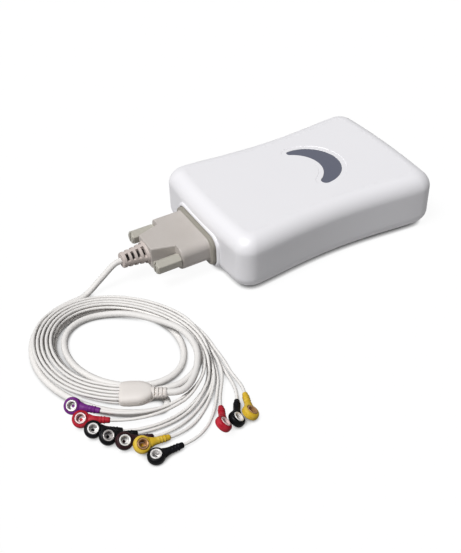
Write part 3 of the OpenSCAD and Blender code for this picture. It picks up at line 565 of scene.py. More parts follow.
heads = {}
rings = []
for snap in snaps:
    name = snap[0]
    colour = name.split("_")[0]
    heads[name] = placed(copied(head, "snap_head_" + name), at_snap(snap))
    finish_piece(heads[name], "plug", "snap_" + colour, snap_finish[colour], "snap_" + name)
    ring = placed(copied(ring_start, "ring_" + name), at_snap(snap))
    ring.data.materials.append(ring_finish.get(name, nickel))
    rings.append(ring)
bpy.data.objects.remove(head)
bpy.data.objects.remove(ring_start)
snap_rings = joined(*rings)
snap_rings.name = snap_rings.data.name = "stud_rings"
finish_piece(snap_rings, "plug", "ring_white", None, "snap_rings")


def dress(material, *nodes):
    """Gives solids of the CAD part their finish"""
    for node in nodes:
        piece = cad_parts[node]
        for index in range(len(piece.data.materials)):
            piece.data.materials[index] = material
        if not piece.data.materials:
            piece.data.materials.append(material)


# spring wire: drawn hard steel, bright, with drawing lines 0.35 mm apart. A wave texture makes 20
# radians of wave for each unit of its scale, which sets how far apart its lines are
wave_turns = 20 / math.tau
spring_steel, tree, place = new_finish("spring_steel_drawn", metallic=1)
drawn = add(tree, "ShaderNodeTexWave", {"Scale": across(0.349 * wave_turns), "Distortion": 3},
            {"Vector": place})
tint = add(tree, "ShaderNodeMix", {"data_type": "RGBA", "A": linear("#B4B4B6"), "B": linear("#98989B")},
           {"Factor": drawn})
bright = add(tree, "ShaderNodeMapRange", {"To Min": 0.2, "To Max": 0.35}, {"Value": drawn})
to_shader(tree, base_color=tint, roughness=bright)
dress(spring_steel, "snap_springs")

# Leads: ten 1.6 mm wires, each with its own white PVC jacket. They leave the yoke in two rows of
# five, lie side by side round the coil's inside, come down to the table and fan out to the snaps.
lead_d = 1.6
# how far outside the oval each of the five columns runs on the coil's left, far and right sides,
# and then, lead by lead, on the way out to its snap at the angles of fan_at
left_lane = [-3.6, -1.3, 1.2, 3.4, 5.6]
far_lane = [-6.4, -4.3, -2.2, -0.1, 3.6]
far_right_lane = [-5.6, -3.5, -1.4, 0.9, 3.2]
right_lane = [-0.8, 1.3, 3.4, 5.5, 7.6]
fan_at = [246, 260, 272, 284, 298]
fan_lane = [[2.6, 5, 6.6, 8, 9.4], [3, 5.8, 7.8, 10, 11.6], [4.6, 7.4, 9.6, 11.6, 13.9],
            [5.1, 8.2, 10.9, 13.8, 16.6], [6.1, 10.2, 13, 16.2, 19.6], [7.1, 11.4, 15.2, 19.4, 23.6],
            [8.7, 13.4, 17.2], [11, 17.2], [12.9, 22.6], [15.3, 26.4]]
row_z = [4.9, 6.8]
down_z = [0.95, 2.8]
low_z = 0.95
exit_pitch = 2.2
exit_rise = 1.15
# where each column comes down from the trunk's strands to the table, in degrees round the coil
drop_from = [268, 243, 224, 196, 60]
drop_to = [290, 260, 246, 226, 128]
spread_from = [299, 272, 262, 246, 240]
spread_to = [300, 288, 280, 264, 254]
last_lane = [292, 292, 277, 277, 277, 277, 262, 247, 247, 247]


def lead_keys(k):
    """The lane and the height of lead k, as keys round the coil"""
    column = k // 2
    row = k % 2
    aside = 0.35 if row else -0.35
    lanes = [[-38, exit_pitch * (column - 1)],
             [0, 0.6 * (exit_pitch * column - 2) + 0.4 * left_lane[column] + aside],
             [50, left_lane[column] + aside], [140, far_lane[column] + aside],
             [180, far_right_lane[column] + aside], [228, right_lane[column] + 1.2 * aside]]
    lanes += [list(pair) for pair in zip(fan_at, fan_lane[k])]
    lower = row_z[0] if column == 0 else down_z[row]
    heights = [[-38, yoke_middle.z + (exit_rise if row else -exit_rise)], [15, row_z[row]],
               [drop_from[column], row_z[row]], [drop_to[column], lower], [spread_from[column], lower],
               [spread_to[column], row_z[0] if column == 0 else low_z]]
    return lanes, heights


def lead_line(k, snap):
    lanes, heights = lead_keys(k)

    def spot(t):
        return lane(205 - t, flowing(t, lanes), stepped(t, heights))

    start = (yoke_middle - yoke_dir * yoke_l / 2 + yoke_side * (2 - k // 2) * exit_pitch
             + Vector((0, 0, exit_rise if k % 2 else -exit_rise)))
    end = last_lane[k]
    stub_dir = (at_snap(snap).to_3x3() @ Vector((1, 0, 0))).normalized()
    stub_end = Vector(snap[1]) + tail_l * stub_dir
    level = Vector((stub_dir.x, stub_dir.y, 0)).normalized()
    line = curve_through([start, start - yoke_dir * lead_d, spot(-23), spot(-13)], 3)
    line += [spot(t) for t in range(-8, end + 1, 5)]
    leaving = (spot(end) - spot(end - 3)).normalized()
    line += swing(spot(end), leaving, stub_end + lead_d * stub_dir, level, 10)
    return start, line + [stub_end]


lead_pvc = cable_pvc("lead_pvc_satin_white", ("#F0EEEC", "#E2DFDC"))
for k, snap in enumerate(snaps):
    start, line = lead_line(k, snap)
    lead = jacket("lead_wire_" + snap[0], line, lead_d)
    lead.data.materials.append(lead_pvc)
    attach(lead, "plug")
    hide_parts("lead_" + snap[0])


# Case: two covers moulded in white ABS, screwed together from below. The long sides draw in
# towards the middle, the top edge is broadly rounded, and a crescent window is let into the top.
case_l = 137.8
case_w = 97.2
case_h = 35.8
side_sag = 4
end_bow = 1.45
corner_r = 10.6
top_round = 9.8
low_round = 9
wall = 2.2
seam_z = 4.6
foot_gap = 0.6


def case_ring(inset, z):
    """Points round the case at one height, drawn in from its widest outline"""
    a = case_l / 2 - inset
    b = case_w / 2 - inset
    r = max(corner_r - 0.6 * inset, 2)
    corner_turns = [math.radians(90 * i / 16) for i in range(17)]
    half = [(a - r + r * math.cos(w), b - r + r * math.sin(w)) for w in corner_turns]
    for i in range(1, 40):
        x = (a - r) * (1 - i / 20)
        half.append((x, b - side_sag * max(1 - (x / (a - r))**2, 0)**1.5))
    half += [(r - a - r * math.sin(w), b - r + r * math.cos(w)) for w in corner_turns]
    for i in range(1, 12):
        y = (b - r) * (1 - i / 6)
        half.append((-a - end_bow * (1 - (y / (b - r))**2), y))
    return [Vector((x, y, z)) for x, y in half + [(-x, -y) for x, y in half]]


def low_level(degrees, inset=0):
    """Points round the case, or round a shape inset from it, on the rounding of its lower edge"""
    w = math.radians(degrees)
    r = low_round - inset
    return case_ring(inset + r * (1 - math.sin(w)), foot_gap + inset + r * (1 - math.cos(w)))


def top_level(degrees, inset=0):
    """The same on the rounding of its upper edge"""
    w = math.radians(degrees)
    r = top_round - inset
    return case_ring(inset + r * (1 - math.sin(w)), case_h - inset - r * (1 - math.cos(w)))


seam_angle = math.degrees(math.acos(1 - (seam_z - foot_gap) / low_round))
top_rings = [low_level(seam_angle), low_level(seam_angle + 1)]
top_rings += [low_level(w) for w in (62, 69, 76, 83, 90)]
top_rings += [case_ring(0, z) for z in (12, 16, 20, 24)]
top_rings += [top_level(w) for w in range(90, -1, -6)]
top_rings += [case_ring(top_round + 0.4, case_h)]


# the crescent: a disc with a second disc bitten out of it, then turned and moved on the top
moon_x = 6.7
moon_r = 21
bite_x = -3.7
bite_r = 19
far_tip_r = 2
near_tip_r = 2.9
moon_turn = -2.2
moon_aside = 0.7


def crescent(grow, z):
    """Points round the crescent with its thin far tip and blunt near one, grown outwards, at one height"""
    tips = []
    for tip_r in (far_tip_r, near_tip_r):
        reach_out = moon_r - tip_r
        reach_in = bite_r + tip_r
        x = (reach_in**2 - reach_out**2 + moon_x**2 - bite_x**2) / (2 * (moon_x - bite_x))
        y = math.sqrt(reach_out**2 - (x - moon_x)**2)
        outer = math.degrees(math.atan2(y, x - moon_x))
        inner = math.degrees(math.atan2(y, x - bite_x))
        tips.append((x, y, tip_r + grow, outer, inner))
    (far_x, far_y, far_r, far_out, far_in), (near_x, near_y, near_r, near_out, near_in) = tips
    arcs = [(moon_x, 0, moon_r + grow, -near_out, far_out, 60),
            (far_x, far_y, far_r, far_out, far_in + 180, 12),
            (bite_x, 0, bite_r - grow, far_in, -near_in, 48),
            (near_x, -near_y, near_r, 180 - near_in, 360 - near_out, 12)]
    ring = []
    for x, y, r, first, last, steps in arcs:
        for i in range(steps):
            w = math.radians(first + (last - first) * i / steps)
            point = Vector((x + r * math.cos(w), y + r * math.sin(w), z))
            ring.append(Matrix.Rotation(math.radians(moon_turn), 3, "Z") @ point
                        + Vector((0, moon_aside, 0)))
    return ring


socket_z = 15.6
rim_z_middle = 14.7
screw_y = 16.65
end_x = case_l / 2 + end_bow
face_x = -end_x - 0.05
flange_x = face_x + 5


def upright_plate(x, half_width, half_height, radius, z):
    """Points round a rectangle with round corners that stands across X"""
    steps = 8
    ring = []
    for quarter, (side, upper) in enumerate(((1, 1), (-1, 1), (-1, -1), (1, -1))):
        for i in range(steps + 1):
            w = math.radians(90 * (quarter + i / steps))
            ring.append(Vector((x, side * (half_width - radius) + radius * math.cos(w),
                                z + upper * (half_height - radius) + radius * math.sin(w))))
    return ring


def d_outline(x, grow):
    """Points round a D-shaped connector, standing across X, whose ends lean by 10 degrees"""
    half_width = 12.5 + grow
    half_height = 4.15 + grow
    lean = 2 * 4.15 * math.tan(math.radians(10))
    return [Vector((x, y, socket_z + z)) for y, z in
            ((-half_width, half_height), (half_width, half_height), (half_width - lean, -half_height),
             (lean - half_width, -half_height))]


def rod(name, x0, x1, diameter, y):
    """A round bar along X, level with the patient socket"""
    bar = turned(name, [(0, x0), (diameter / 2, x0), (diameter / 2, x1), (0, x1)], 40)
    return placed(bar, turn(90, "Y"), shift(0, y, socket_z))


def post(name, x, y, z0, z1, diameter):
    """A round bar standing up"""
    bar = turned(name, [(0, z0), (diameter / 2, z0), (diameter / 2, z1), (0, z1)], 36)
    return placed(bar, shift(x, y, 0))


def corner_places(in_x, in_y):
    """The four places that lie so far in from the case's ends and sides"""
    return [(x * (case_l / 2 - in_x), y * (case_w / 2 - in_y)) for x in (-1, 1) for y in (-1, 1)]


def hollow():
    """The space inside both covers, one wall thickness in from their outside"""
    levels = [low_level(w, wall) for w in range(15, 91, 15)]
    return lofted("hollow", levels + [top_level(w, wall) for w in range(90, -1, -15)])


def slab(name, x0, x1, half_width, z0, z1):
    """A square-cornered block along X, centred across it"""
    return lofted(name, [[Vector((x, y, z)) for y, z in
                          ((-half_width, z0), (half_width, z0), (half_width, z1), (-half_width, z1))]
                         for x in (x0, x1)])


top_cover = cut(lofted("case_top", top_rings), hollow())
# pad behind the patient socket, and the raised lip that stands round the plug's rim, each section of
# it given by its X, its half width, half height and corner radius
pad = lofted("pad", [upright_plate(x, 23.5, 10.1, 5, rim_z_middle) for x in (face_x, flange_x - 0.2)])
lip_form = [(-66.5, 25.4, 12.1, 8.3), (-70, 25, 11.7, 8), (-70.7, 24.7, 11.4, 7.8), (-71.1, 24.3, 11, 7.6),
            (-71.25, 23.9, 10.6, 7.3)]
lip = lofted("lip", [upright_plate(*form, rim_z_middle) for form in lip_form])
jack_way_d = 6.2
cut(top_cover, lip, pad, operation="UNION")
cut(top_cover, lofted("lip_well", [upright_plate(x, 23.35, 10.05, 6.9, rim_z_middle) for x in (face_x, -75)]),
    lofted("shell_way", [d_outline(x, 1.8) for x in (face_x - 1, flange_x + 1)]),
    *[rod("jack_way", face_x - 1.6, flange_x + 1.4, jack_way_d, y) for y in (screw_y, -screw_y)])
# bosses that the case screws bite into
boss_d = 7
boss_bite_d = 3.1
bosses = corner_places(15, 15.5)
for x, y in bosses:
    cut(top_cover, post("boss", x, y, seam_z + 1, case_h - wall / 2, boss_d), operation="UNION")
    cut(top_cover, post("bite", x, y, seam_z, seam_z + 14, boss_bite_d))
# the light pipe's collar, the mouth of the USB port, and the window's recess in a shallow dish
pipe_x = 21.5
collar_d = 11
pipe_way_d = 8.2
cut(top_cover, post("collar", pipe_x, 0, case_h - wall - 5, case_h - wall + 0.2, collar_d),
    operation="UNION")
usb_x = end_x - 16.4
usb_half_w = 6.2
usb_low = 9
usb_high = 20.4
window_t = 1.4
dish_form = [(3.1, case_h - 0.2), (3.35, case_h), (3.35, case_h + 1)]
recess_form = [(0.1, case_h - window_t), (0.1, case_h - 0.3), (0.35, case_h - 0.05), (0.35, case_h + 1)]
cut(top_cover, slab("usb_mouth", usb_x - 0.2, end_x + 3, usb_half_w, usb_low, usb_high),
    post("pipe_way", pipe_x, 0, case_h - wall - 6, case_h - 1.3, pipe_way_d),
    lofted("dish", [crescent(*form) for form in dish_form]),
    lofted("recess", [crescent(*form) for form in recess_form]))
shaded(top_cover, 30)

bottom_rings = [case_ring(low_round + 0.4, foot_gap)]
bottom_rings += [low_level(w) for w in (0, 8, 16, 24, 32, 40, 48)]
bottom_rings += [low_level(math.degrees(math.acos(1 - (seam_z - 0.05 - foot_gap) / low_round)))]
bottom_cover = cut(lofted("case_bottom", bottom_rings), hollow())
# posts for the board's screws, pillars with the ways of the case screws, and seats for the feet
post_d = 6.4
post_bite_d = 2.6
pillar_d = 8
shank_way_d = 3.4
head_way_d = 6.4
foot_seat_d = 9.2
board_z = 7.6
inside = foot_gap + 0.5
for on_post, on_boss, on_foot in zip(corner_places(25.1, 15.6), bosses, corner_places(24, 20)):
    cut(bottom_cover, post("post", *on_post, inside, board_z, post_d),
        post("pillar", *on_boss, inside, seam_z + 0.9, pillar_d), operation="UNION")
    cut(bottom_cover, post("bite", *on_post, foot_gap + 1.6, board_z + 1, post_bite_d),
        post("shank_way", *on_boss, -1, seam_z + 2, shank_way_d),
        post("head_way", *on_boss, -1, foot_gap + 2.2, head_way_d),
        post("foot_seat", *on_foot, -1, foot_gap + 0.6, foot_seat_d))
shaded(bottom_cover, 30)

# ABS, injection moulded: a cool white with a broad soft sheen, its tone in clouds as wide as a hand, a
# faint waviness 4 mm long that the tool left, and dust a millimetre across that breaks the sheen up
case_abs, tree, place, tint = patterned(
    "satin_abs_cool_white", ("#EFEEF1", "#EBEAEE"), ("Noise", 71.4, {"Detail": 2}),
    ("Noise", 3.85, {"Detail": 1}), (0.03, 0.4), (0.36, 0.46), coat_weight=0.12, coat_roughness=0.35)
dust = add(tree, "ShaderNodeTexNoise", {"Scale": across(1.11), "Detail": 4, "Roughness": 0.6},
           {"Vector": place})
to_shader(tree, roughness=add(tree, "ShaderNodeMapRange", {"To Min": 0.36, "To Max": 0.46}, {"Value": dust}))
finish_piece(top_cover, "case", "case_white", case_abs, "top_cover")
finish_piece(bottom_cover, "case", "case_white", case_abs, "bottom_cover")

# Indicator window: a smoked strip of polycarbonate, pressed into the crescent recess. Its outside is
# etched matt with pits 0.25 mm across, and slightly bluer in patches.
window_form = [(0, case_h - window_t), (0, case_h - 0.5), (-0.06, case_h - 0.4), (-0.16, case_h - 0.35)]
window = shaded(lofted("crescent_window", [crescent(*form) for form in window_form]), 50)
smoked = patterned("polycarbonate_smoked_matt", ("#626471", "#5C6070"), ("Noise", 16.7, {"Detail": 3}),
                   ("Noise", 0.25, {"Detail": 2}), (0.2, 0.05), (0.42, 0.55), specular_ior_level=0.4)[0]
finish_piece(window, "case", "window_grey", smoked, "indicator_window")


# Plug hood: a hollow beige housing moulded round the 15-way connector. A wide rim meets the case,
# the block behind it carries the thumbscrews, and a flat-topped neck narrows towards the cable.
plug_x = face_x - 0.2
shoulder_x = -91.5
neck_x = -105.5
# each section along the hood: its X, half width, half height and corner radius, and its middle's height
hood_form = [(-70.6, 22.3, 9, 5.9, 14.7), (-70.72, 22.65, 9.35, 6.25, 14.7), (-71.1, 22.9, 9.6, 6.5, 14.7),
             (-72.7, 22.9, 9.6, 6.5, 14.7), (-73.1, 22.7, 9.4, 6.3, 14.7), (-73.35, 22.3, 9, 5.9, 14.7),
             (-73.4, 21.1, 8.1, 5.5, 15.3), (-73.65, 20.6, 7.6, 5.2, 15.6), (-74.25, 20.3, 7.3, 5, 15.7),
             (-80, 20.3, 7.3, 5, 15.7), (-85, 20.3, 7.3, 5, 15.7), (-90, 20.3, 7.3, 5, 15.7),
             (-90.8, 20.1, 7.3, 4.8, 15.7), (-91.25, 19.6, 7.3, 4.5, 15.7), (-91.5, 18.8, 7.3, 4, 15.7),
             (-91.55, 12.6, 7.26, 1.6, 15.74), (-91.8, 12.1, 7.24, 1.2, 15.76),
             (-93, 11.65, 7.23, 1.2, 15.77), (-98, 10.2, 7.23, 1.2, 15.77), (-104.4, 8.35, 7.22, 1.2, 15.77),
             (-105.15, 8, 7, 1.2, 15.75), (neck_x, 7.3, 6.4, 1, 15.75)]
hood = lofted("connector_hood", [upright_plate(*form) for form in hood_form])
seat_form = [(x, 19.8, 6.45, 1.6, socket_z) for x in (plug_x - 1.2, plug_x + 1)]
cut(hood, lofted("shell_seat", [upright_plate(*form) for form in seat_form]),
    lofted("core_way", [d_outline(x, 0.2) for x in (plug_x - 10, plug_x + 1)]))
# a hole for each thumbscrew, and a wider one that its clip slides in as the screw backs out
screw_way_d = 3.6
clip_way_d = 6.4
clip_end = plug_x - 12.28
for y in (-screw_y, screw_y):
    cut(hood, rod("screw_way", shoulder_x - 1, plug_x + 1, screw_way_d, y),
        rod("clip_way", clip_end, plug_x + 1, clip_way_d, y))
shaded(hood, 34)


# grained ABS, moulded in a spark-eroded tool: matt warm beige, with pits near 0.35 mm across that
# soften every highlight, and a slightly dustier tone in patches the size of a fingertip
def grained_abs(name, *tones):
    return patterned(name, tones, ("Noise", 14.3, {"Detail": 3}), ("Voronoi", 0.357, {}), (0.25, 0.1),
                     (0.44, 0.58), specular_ior_level=0.4)


# the rim has a painted shade: a duller, greener grey than the rest of the hood, with scuffs 2 mm across
rim_start = -73.9
rim_end = -73.3
hood_abs, tree, place, tint = grained_abs("grained_abs_beige", "#C5BFBB", "#BBB4AE")
along = add(tree, "ShaderNodeSeparateXYZ", {}, {"Vector": place}).node.outputs["X"]
at_rim = add(tree, "ShaderNodeMapRange", {"From Min": rim_start * MM, "From Max": rim_end * MM},
             {"Value": along})
scuffs = add(tree, "ShaderNodeTexNoise", {"Scale": across(2), "Detail": 4}, {"Vector": place})
# the rim's painted shade, mottled by the scuffs
rim_scuffs_and_shade = add(tree, "ShaderNodeMix", {"data_type": "RGBA", "A": linear("#8F8B81"), "B": linear("#9B968D")},
               {"Factor": scuffs})
hood_tone = add(tree, "ShaderNodeMix", {"data_type": "RGBA"}, {"Factor": at_rim, "A": tint, "B": rim_scuffs_and_shade})
to_shader(tree, base_color=hood_tone)
finish_piece(hood, "plug", "hood_beige", hood_abs, "plug_hood")

# Thumbscrews: a steel screw with a six-sided plastic grip, one through each side of the block. The
# grip's end has a screwdriver slot, and a clip on the thread keeps the screw from falling out.
knob_d = 8.6
knob_l = 15
knob_end = shoulder_x - knob_l
knob_round = 0.5
knob_boss_d = 6.2
thread_d = 2.8
knob_abs = grained_abs("grained_abs_warm_grey", "#BFBCB2", "#B2AEA4")[0]
for side, y in (("near", -screw_y), ("far", screw_y)):
    clear_selection()
    bpy.ops.mesh.primitive_cylinder_add(vertices=6, radius=knob_d / 2 * MM, depth=knob_l * MM)
    screw = bpy.context.object
    screw.name = screw.data.name = side + "_screw_grip"
    bpy.ops.object.mode_set(mode="EDIT")
    bpy.ops.mesh.select_all(action="SELECT")
    bpy.ops.mesh.bevel(offset=knob_round * MM, segments=3, affect="EDGES")
    bpy.ops.object.mode_set(mode="OBJECT")
    placed(screw, turn(30, "Z"), turn(90, "Y"), shift(shoulder_x - 0.2 - knob_l / 2, y, socket_z))
    cut(screw, rod("boss", knob_end - 0.7, knob_end, knob_boss_d, y),
        rod("thread", shoulder_x - 1, flange_x - 0.6, thread_d, y), operation="UNION")
    driver_slot = slab("driver_slot", knob_end - 1.2, knob_end + 0.2, 0.6, socket_z - 5, socket_z + 5)
    cut(screw, placed(driver_slot, shift(0, y, 0)))
    shaded(screw, 34)
    finish_piece(screw, side + "_screw", "hood_beige", knob_abs, side + "_thumbscrew")

# Cable boot: soft PVC moulded on to the cable and locked in the neck. Four rows of slots, each in
# four quarters, let it bend; its root swells to fill the neck's end. Each section along it is given
# by its distance from the neck, half its height and half its width.
boot_form = [(-0.3, 6.3, 7.5), (0, 6.4, 7.6), (0.7, 6.15, 7.3), (1.5, 5.95, 6.9), (2.5, 5.8, 6.5),
             (3.5, 5.66, 6.15), (5, 5.5, 5.75), (6.5, 5.36, 5.48), (9, 5.14, 5.16), (12, 4.88, 4.88),
             (14.7, 4.65, 4.65), (15.1, 4.5, 4.5), (15.3, 4.2, 4.2)]
boot = lofted("slotted_boot", [[Vector((y, x, z)) for y, x in ellipse(high, wide, 56)]
                               for z, high, wide in boot_form])
boot_d = 11.8
boot_taper = 0.17
boot_slot_w = 1.75
boot_slot_depth = 2.6
boot_bridge = 2.4
boot_slots = [(z, (boot_d - boot_taper * z) / 2 - boot_slot_depth) for z in (1.5, 4.8, 8.1, 11.4)]
cut_slots(boot, boot_slots, boot_slot_w, boot_bridge, [0, 90])
placed(boot, turn(-90, "Y"), shift(neck_x, 0, socket_z))
shaded(boot, 36)
# soft PVC: pinkish beige with a cloudy bloom and a skin grain 0.45 mm across. Its slots get a painted
# shade: all that lies near the boot's axis, apart from its tip, is painted dark
slot_shade_r = 3.5
slot_lit_r = 4.4
tip_start = neck_x - 14.8
tip_full = neck_x - 15
boot_pvc, tree, place, tint = patterned(
    "soft_pvc_pinkish_beige", ("#CEC4BF", "#C3B7B1"), ("Noise", 7.69, {"Detail": 4}),
    ("Noise", 0.455, {"Detail": 3}), (0.25, 0.1), (0.5, 0.66), specular_ior_level=0.3)
from_axis = add(tree, "ShaderNodeMapping", {"Location": (0, 0, -socket_z * MM), "Scale": (0, 1, 1)},
                {"Vector": place})
radius = add(tree, "ShaderNodeVectorMath", {"operation": "LENGTH"}, {"Vector": from_axis})
off_axis = add(tree, "ShaderNodeMapRange", {"From Min": slot_shade_r * MM, "From Max": slot_lit_r * MM},
               {"Value": radius})
along = add(tree, "ShaderNodeSeparateXYZ", {}, {"Vector": place}).node.outputs["X"]
at_tip = add(tree, "ShaderNodeMapRange", {"From Min": tip_start * MM, "From Max": tip_full * MM},
             {"Value": along})
unshaded_share = add(tree, "ShaderNodeMath", {"operation": "MAXIMUM"}, {"Value": off_axis})
tree.links.new(at_tip, unshaded_share.node.inputs[1])
# painted shade in the slots: a dark brown mixed in near the axis
slot_painted_shade = add(tree, "ShaderNodeMix", {"data_type": "RGBA", "A": linear("#2E2927")},
             {"Factor": unshaded_share, "B": tint})
to_shader(tree, base_color=slot_painted_shade)
finish_piece(boot, "plug", "boot_beige", boot_pvc, "cable_boot")


# Metal and plastic of the connector pair, and everything inside the case. These solids keep their
# own shape, so each only gets the finish of what it is made of.
def two_tone(name, tones, patch, grain, sheen, **constants):
    """A finish of two close tones in patches of one size, over a bump a quarter as deep as its grain"""
    return patterned(name, tones, ("Noise", patch, {"Detail": 3}), ("Noise", grain, {"Detail": 2}),
                     (0.2, grain / 4), sheen, **constants)[0]


# pressed steel, bright tin plated: soft silver with faint cloudy spangles
dress(two_tone("tin_plate_bright", ("#D6D5D2", "#C6C6C5"), 1.5, 0.25, (0.16, 0.3), metallic=1),
      "usb_socket", "socket_shell", "jack_sockets", "plug_shell", "near_clip", "far_clip")
# hot-dipped tinplate of the screening can, duller, with spangles some millimetres across
dress(two_tone("tinplate_dipped", ("#C9CAC9", "#B4B6B7"), 4, 0.5, (0.3, 0.45), metallic=1), "input_shield")
# glass-filled PBT of both inserts: deep black, dry, with fibres that just break the sheen
dress(two_tone("glass_filled_pbt_black", ("#17171A", "#222226"), 2, 0.12, (0.42, 0.6)),
      "socket_insert", "plug_insert")
# PBT of the port's tongue: plain white, satin
dress(two_tone("pbt_white", ("#E4E3DE", "#DAD8D2"), 2, 0.15, (0.35, 0.5)), "usb_tongue")
# gold flash over nickel: yellow, bright, paler where the layer is thin
dress(two_tone("gold_flash_on_nickel", ("#DDB65C", "#E6CB8A"), 0.8, 0.1, (0.16, 0.28), metallic=1),
      "socket_contacts", "plug_pins")
# zinc-plated machine screws: blue-grey steel, satin
dress(two_tone("zinc_plated_steel", ("#B9BCC0", "#A5A8AD"), 1, 0.1, (0.24, 0.4), metallic=1),
      "board_screws", "case_screws")
# rubber feet: dense black, dusty, no shine
dress(two_tone("foot_rubber_black", ("#242424", "#313131"), 2.5, 0.3, (0.7, 0.85), specular_ior_level=0.25),
      "rubber_feet")
# epoxy chip packages: charcoal with a sand-blasted face
dress(two_tone("moulded_epoxy_charcoal", ("#1B1B1D", "#28282B"), 1.2, 0.1, (0.5, 0.65)), "circuit_chips")
# clear acrylic light pipe, polished, with a trace of haze, over three milky lamps
dress(two_tone("acrylic_clear_polished", ("#F2F5F8", "#E8EDF2"), 5, 0.8, (0.04, 0.12),
               transmission_weight=0.92, ior=1.49), "light_pipe")
dress(two_tone("lamp_epoxy_milky", ("#F4EFD0", "#E8E0B8"), 0.6, 0.1, (0.25, 0.35), transmission_weight=0.2),
      "status_leds")

# circuit board: glass-epoxy under green solder mask. Its weave shows as ridges 1 mm apart, and its
# tracks as paler lines 0.3 mm wide and 2.8 mm apart, four rows of bricks to each 11.1 mm
board_mask, tree, place = new_finish("solder_mask_green", specular_ior_level=0.5)
weave = add(tree, "ShaderNodeTexWave", {"bands_direction": "X", "Scale": across(0.982 * wave_turns),
                                        "Distortion": 0.4}, {"Vector": place})
tracks = add(tree, "ShaderNodeTexBrick", {"Scale": across(11.1), "Mortar Size": 0.03,
                                         "Color1": linear("#0E5A2A"), "Color2": linear("#0C5026"),
                                         "Mortar": linear("#2A7F45")}, {"Vector": place})
mask_bump = add(tree, "ShaderNodeBump", {"Strength": 0.15, "Distance": 0.06 * MM}, {"Height": weave})
sheen = add(tree, "ShaderNodeMapRange", {"To Min": 0.26, "To Max": 0.4}, {"Value": weave})
to_shader(tree, base_color=tracks, roughness=sheen, normal=mask_bump)
dress(board_mask, "main_board")

# resistors: lacquered ceramic, sand coloured, ringed with brown, black and gold bands 0.8 mm wide
sand = linear("#C8B48C")
lacquer, tree, place = new_finish("resistor_lacquer_sand", coat_weight=0.3)
axes = add(tree, "ShaderNodeSeparateXYZ", (), {"Vector": place})
along = add(tree, "ShaderNodeMapRange", {"From Min": -50 * MM, "From Max": -42 * MM}, {"Value": axes})
bands = add(tree, "ShaderNodeValToRGB", (), {"Fac": along}).node.color_ramp
bands.interpolation = "CONSTANT"
for start, tone in ((0.12, "#6B3A1C"), (0.34, "#16130F"), (0.56, "#6B3A1C"), (0.8, "#B08A3A")):
    bands.elements.new(start).color = linear(tone)
    bands.elements.new(start + 0.1).color = sand
bands.elements[0].color = sand
bands.elements[-1].color = sand
speckle = add(tree, "ShaderNodeTexNoise", {"Scale": across(0.333)}, {"Vector": place})
lacquered = add(tree, "ShaderNodeBump", {"Strength": 0.15, "Distance": 0.05 * MM}, {"Height": speckle})
sheen = add(tree, "ShaderNodeMapRange", {"To Min": 0.25, "To Max": 0.38}, {"Value": speckle})
to_shader(tree, base_color=tree.nodes["Color Ramp"].outputs["Color"], roughness=sheen, normal=lacquered)
dress(lacquer, "input_resistors")


# a part in two finishes, one over the other: what is above a height differs from what is below it.
# Ridges run round it, so many millimetres apart
def banded(name, below, above, height, ridge, sheen):
    material, tree, place = new_finish(name)
    up_part = add(tree, "ShaderNodeSeparateXYZ", (), {"Vector": place}).node.outputs["Z"]
    upper = add(tree, "ShaderNodeMath", {"operation": "GREATER_THAN"}, {"Value": up_part})
    upper.node.inputs[1].default_value = height * MM
    tint = add(tree, "ShaderNodeMix", {"data_type": "RGBA", "A": linear(below), "B": linear(above)},
               {"Factor": upper})
    turns = add(tree, "ShaderNodeTexWave", {"bands_direction": "Z", "Scale": across(ridge * wave_turns),
                                            "Distortion": 0.5}, {"Vector": place})
    ridges = add(tree, "ShaderNodeBump", {"Strength": 0.2, "Distance": 0.1 * MM}, {"Height": turns})
    rough = add(tree, "ShaderNodeMapRange", {"To Min": sheen[0], "To Max": sheen[1]}, {"Value": turns})
    to_shader(tree, base_color=tint, roughness=rough, normal=ridges)
    return material


# capacitors: aluminium cans in blue sleeves, the bare lid showing on top
dress(banded("sleeved_can_blue", "#263A66", "#B9BBBE", 16.6, 2.51, (0.3, 0.42)), "capacitors")
# isolation transformer: ferrite halves round a bobbin wound under yellow tape
dress(banded("taped_winding_yellow", "#3A3A3E", "#D9B93A", 12.1, 3.14, (0.35, 0.5)), "isolation_transformer")


# Floor and light: a pale table top, a broad soft lamp above the cable's end that leaves the long near
# side in shade, and a weak fill. To the eye the table is plain white, apart from the shade close to
# what lies on it.
clear_selection()
bpy.ops.mesh.primitive_plane_add(size=6)
floor = bpy.context.object
floor.name = "floor"
# paper: pale grey for the light that it throws up on the object, with fibres 2.5 mm long
floor_paper, tree, place = new_finish("pale_table_paper", specular_ior_level=0.1)
fibres = add(tree, "ShaderNodeTexNoise", {"Scale": across(2.5), "Detail": 3}, {"Vector": place})
tint = add(tree, "ShaderNodeMix", {"data_type": "RGBA", "A": linear("#B4B4B4"), "B": linear("#AEAEAE")},
           {"Factor": fibres})
matt = add(tree, "ShaderNodeMapRange", {"To Min": 0.8, "To Max": 0.9}, {"Value": fibres})
to_shader(tree, base_color=tint, roughness=matt)
mirrored_share = 0.45


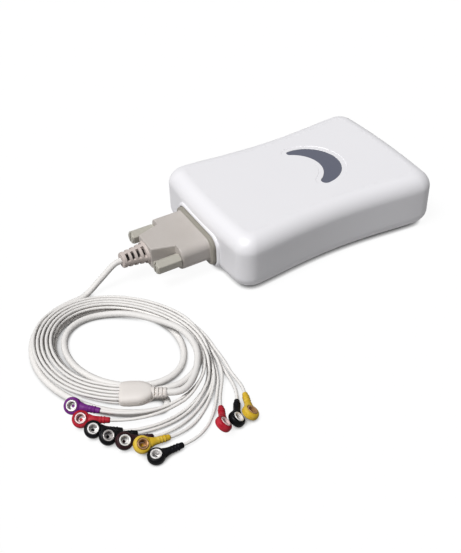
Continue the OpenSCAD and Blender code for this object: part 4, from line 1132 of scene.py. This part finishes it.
def seen_plainly(tree):
    """1 for rays from the camera or through a clear surface, a part for mirrored ones, 0 for the rest"""
    path = add(tree, "ShaderNodeLightPath").node
    total = add(tree, "ShaderNodeMath", {"operation": "MULTIPLY"}, {"Value": path.outputs["Is Glossy Ray"]})
    total.node.inputs[1].default_value = mirrored_share
    for kind in ("Is Camera Ray", "Is Transmission Ray"):
        larger = add(tree, "ShaderNodeMath", {"operation": "MAXIMUM"}, {"Value": total})
        tree.links.new(path.outputs[kind], larger.node.inputs[1])
        total = larger
    return total


# white where the table lies open, fading to the lamps' own light and shadow between the strands and
# within a few millimetres of the object. The glare is a touch over 1 because it is only part of the mix
shade_reach = 4 * MM
closed_in = 0.16
lying_open = 0.68
glare_share = 0.88
glare = add(tree, "ShaderNodeEmission", {"Color": (1, 1, 1, 1), "Strength": 1.08})
openness = add(tree, "ShaderNodeAmbientOcclusion", {"Distance": shade_reach}).node.outputs["AO"]
open_share = add(tree, "ShaderNodeMapRange", {"From Min": closed_in, "From Max": lying_open,
                                              "To Max": glare_share}, {"Value": openness})
share = add(tree, "ShaderNodeMath", {"operation": "MULTIPLY"}, {"Value": seen_plainly(tree)})
tree.links.new(open_share, share.node.inputs[1])
blend = tree.nodes.new("ShaderNodeMixShader")
tree.links.new(share, blend.inputs[0])
tree.links.new(tree.nodes["Principled BSDF"].outputs[0], blend.inputs[1])
tree.links.new(glare, blend.inputs[2])
tree.links.new(blend.outputs[0], tree.nodes["Material Output"].inputs["Surface"])
floor.data.materials.append(floor_paper)

world = bpy.data.worlds.new("studio")
bpy.context.scene.world = world
world.use_nodes = True
tree = world.node_tree
strength = add(tree, "ShaderNodeMapRange", {"To Min": 0.05, "To Max": 1}, {"Value": seen_plainly(tree)})
tree.nodes["Background"].inputs["Color"].default_value = (1, 1, 1, 1)
tree.links.new(strength, tree.nodes["Background"].inputs["Strength"])


# the key stands off the cable's end of the box, so the long near side gets only the table's glow
key_lamp = bpy.data.lights.new("key_lamp", "SUN")
key_lamp.energy = 3.35
key_lamp.angle = math.radians(24)
key = bpy.data.objects.new("key_lamp", key_lamp)
bpy.context.scene.collection.objects.link(key)
key.matrix_world = Vector((-0.44, -0.09, 0.87)).to_track_quat("Z", "Y").to_matrix().to_4x4()

bpy.context.scene.view_settings.view_transform = "Standard"
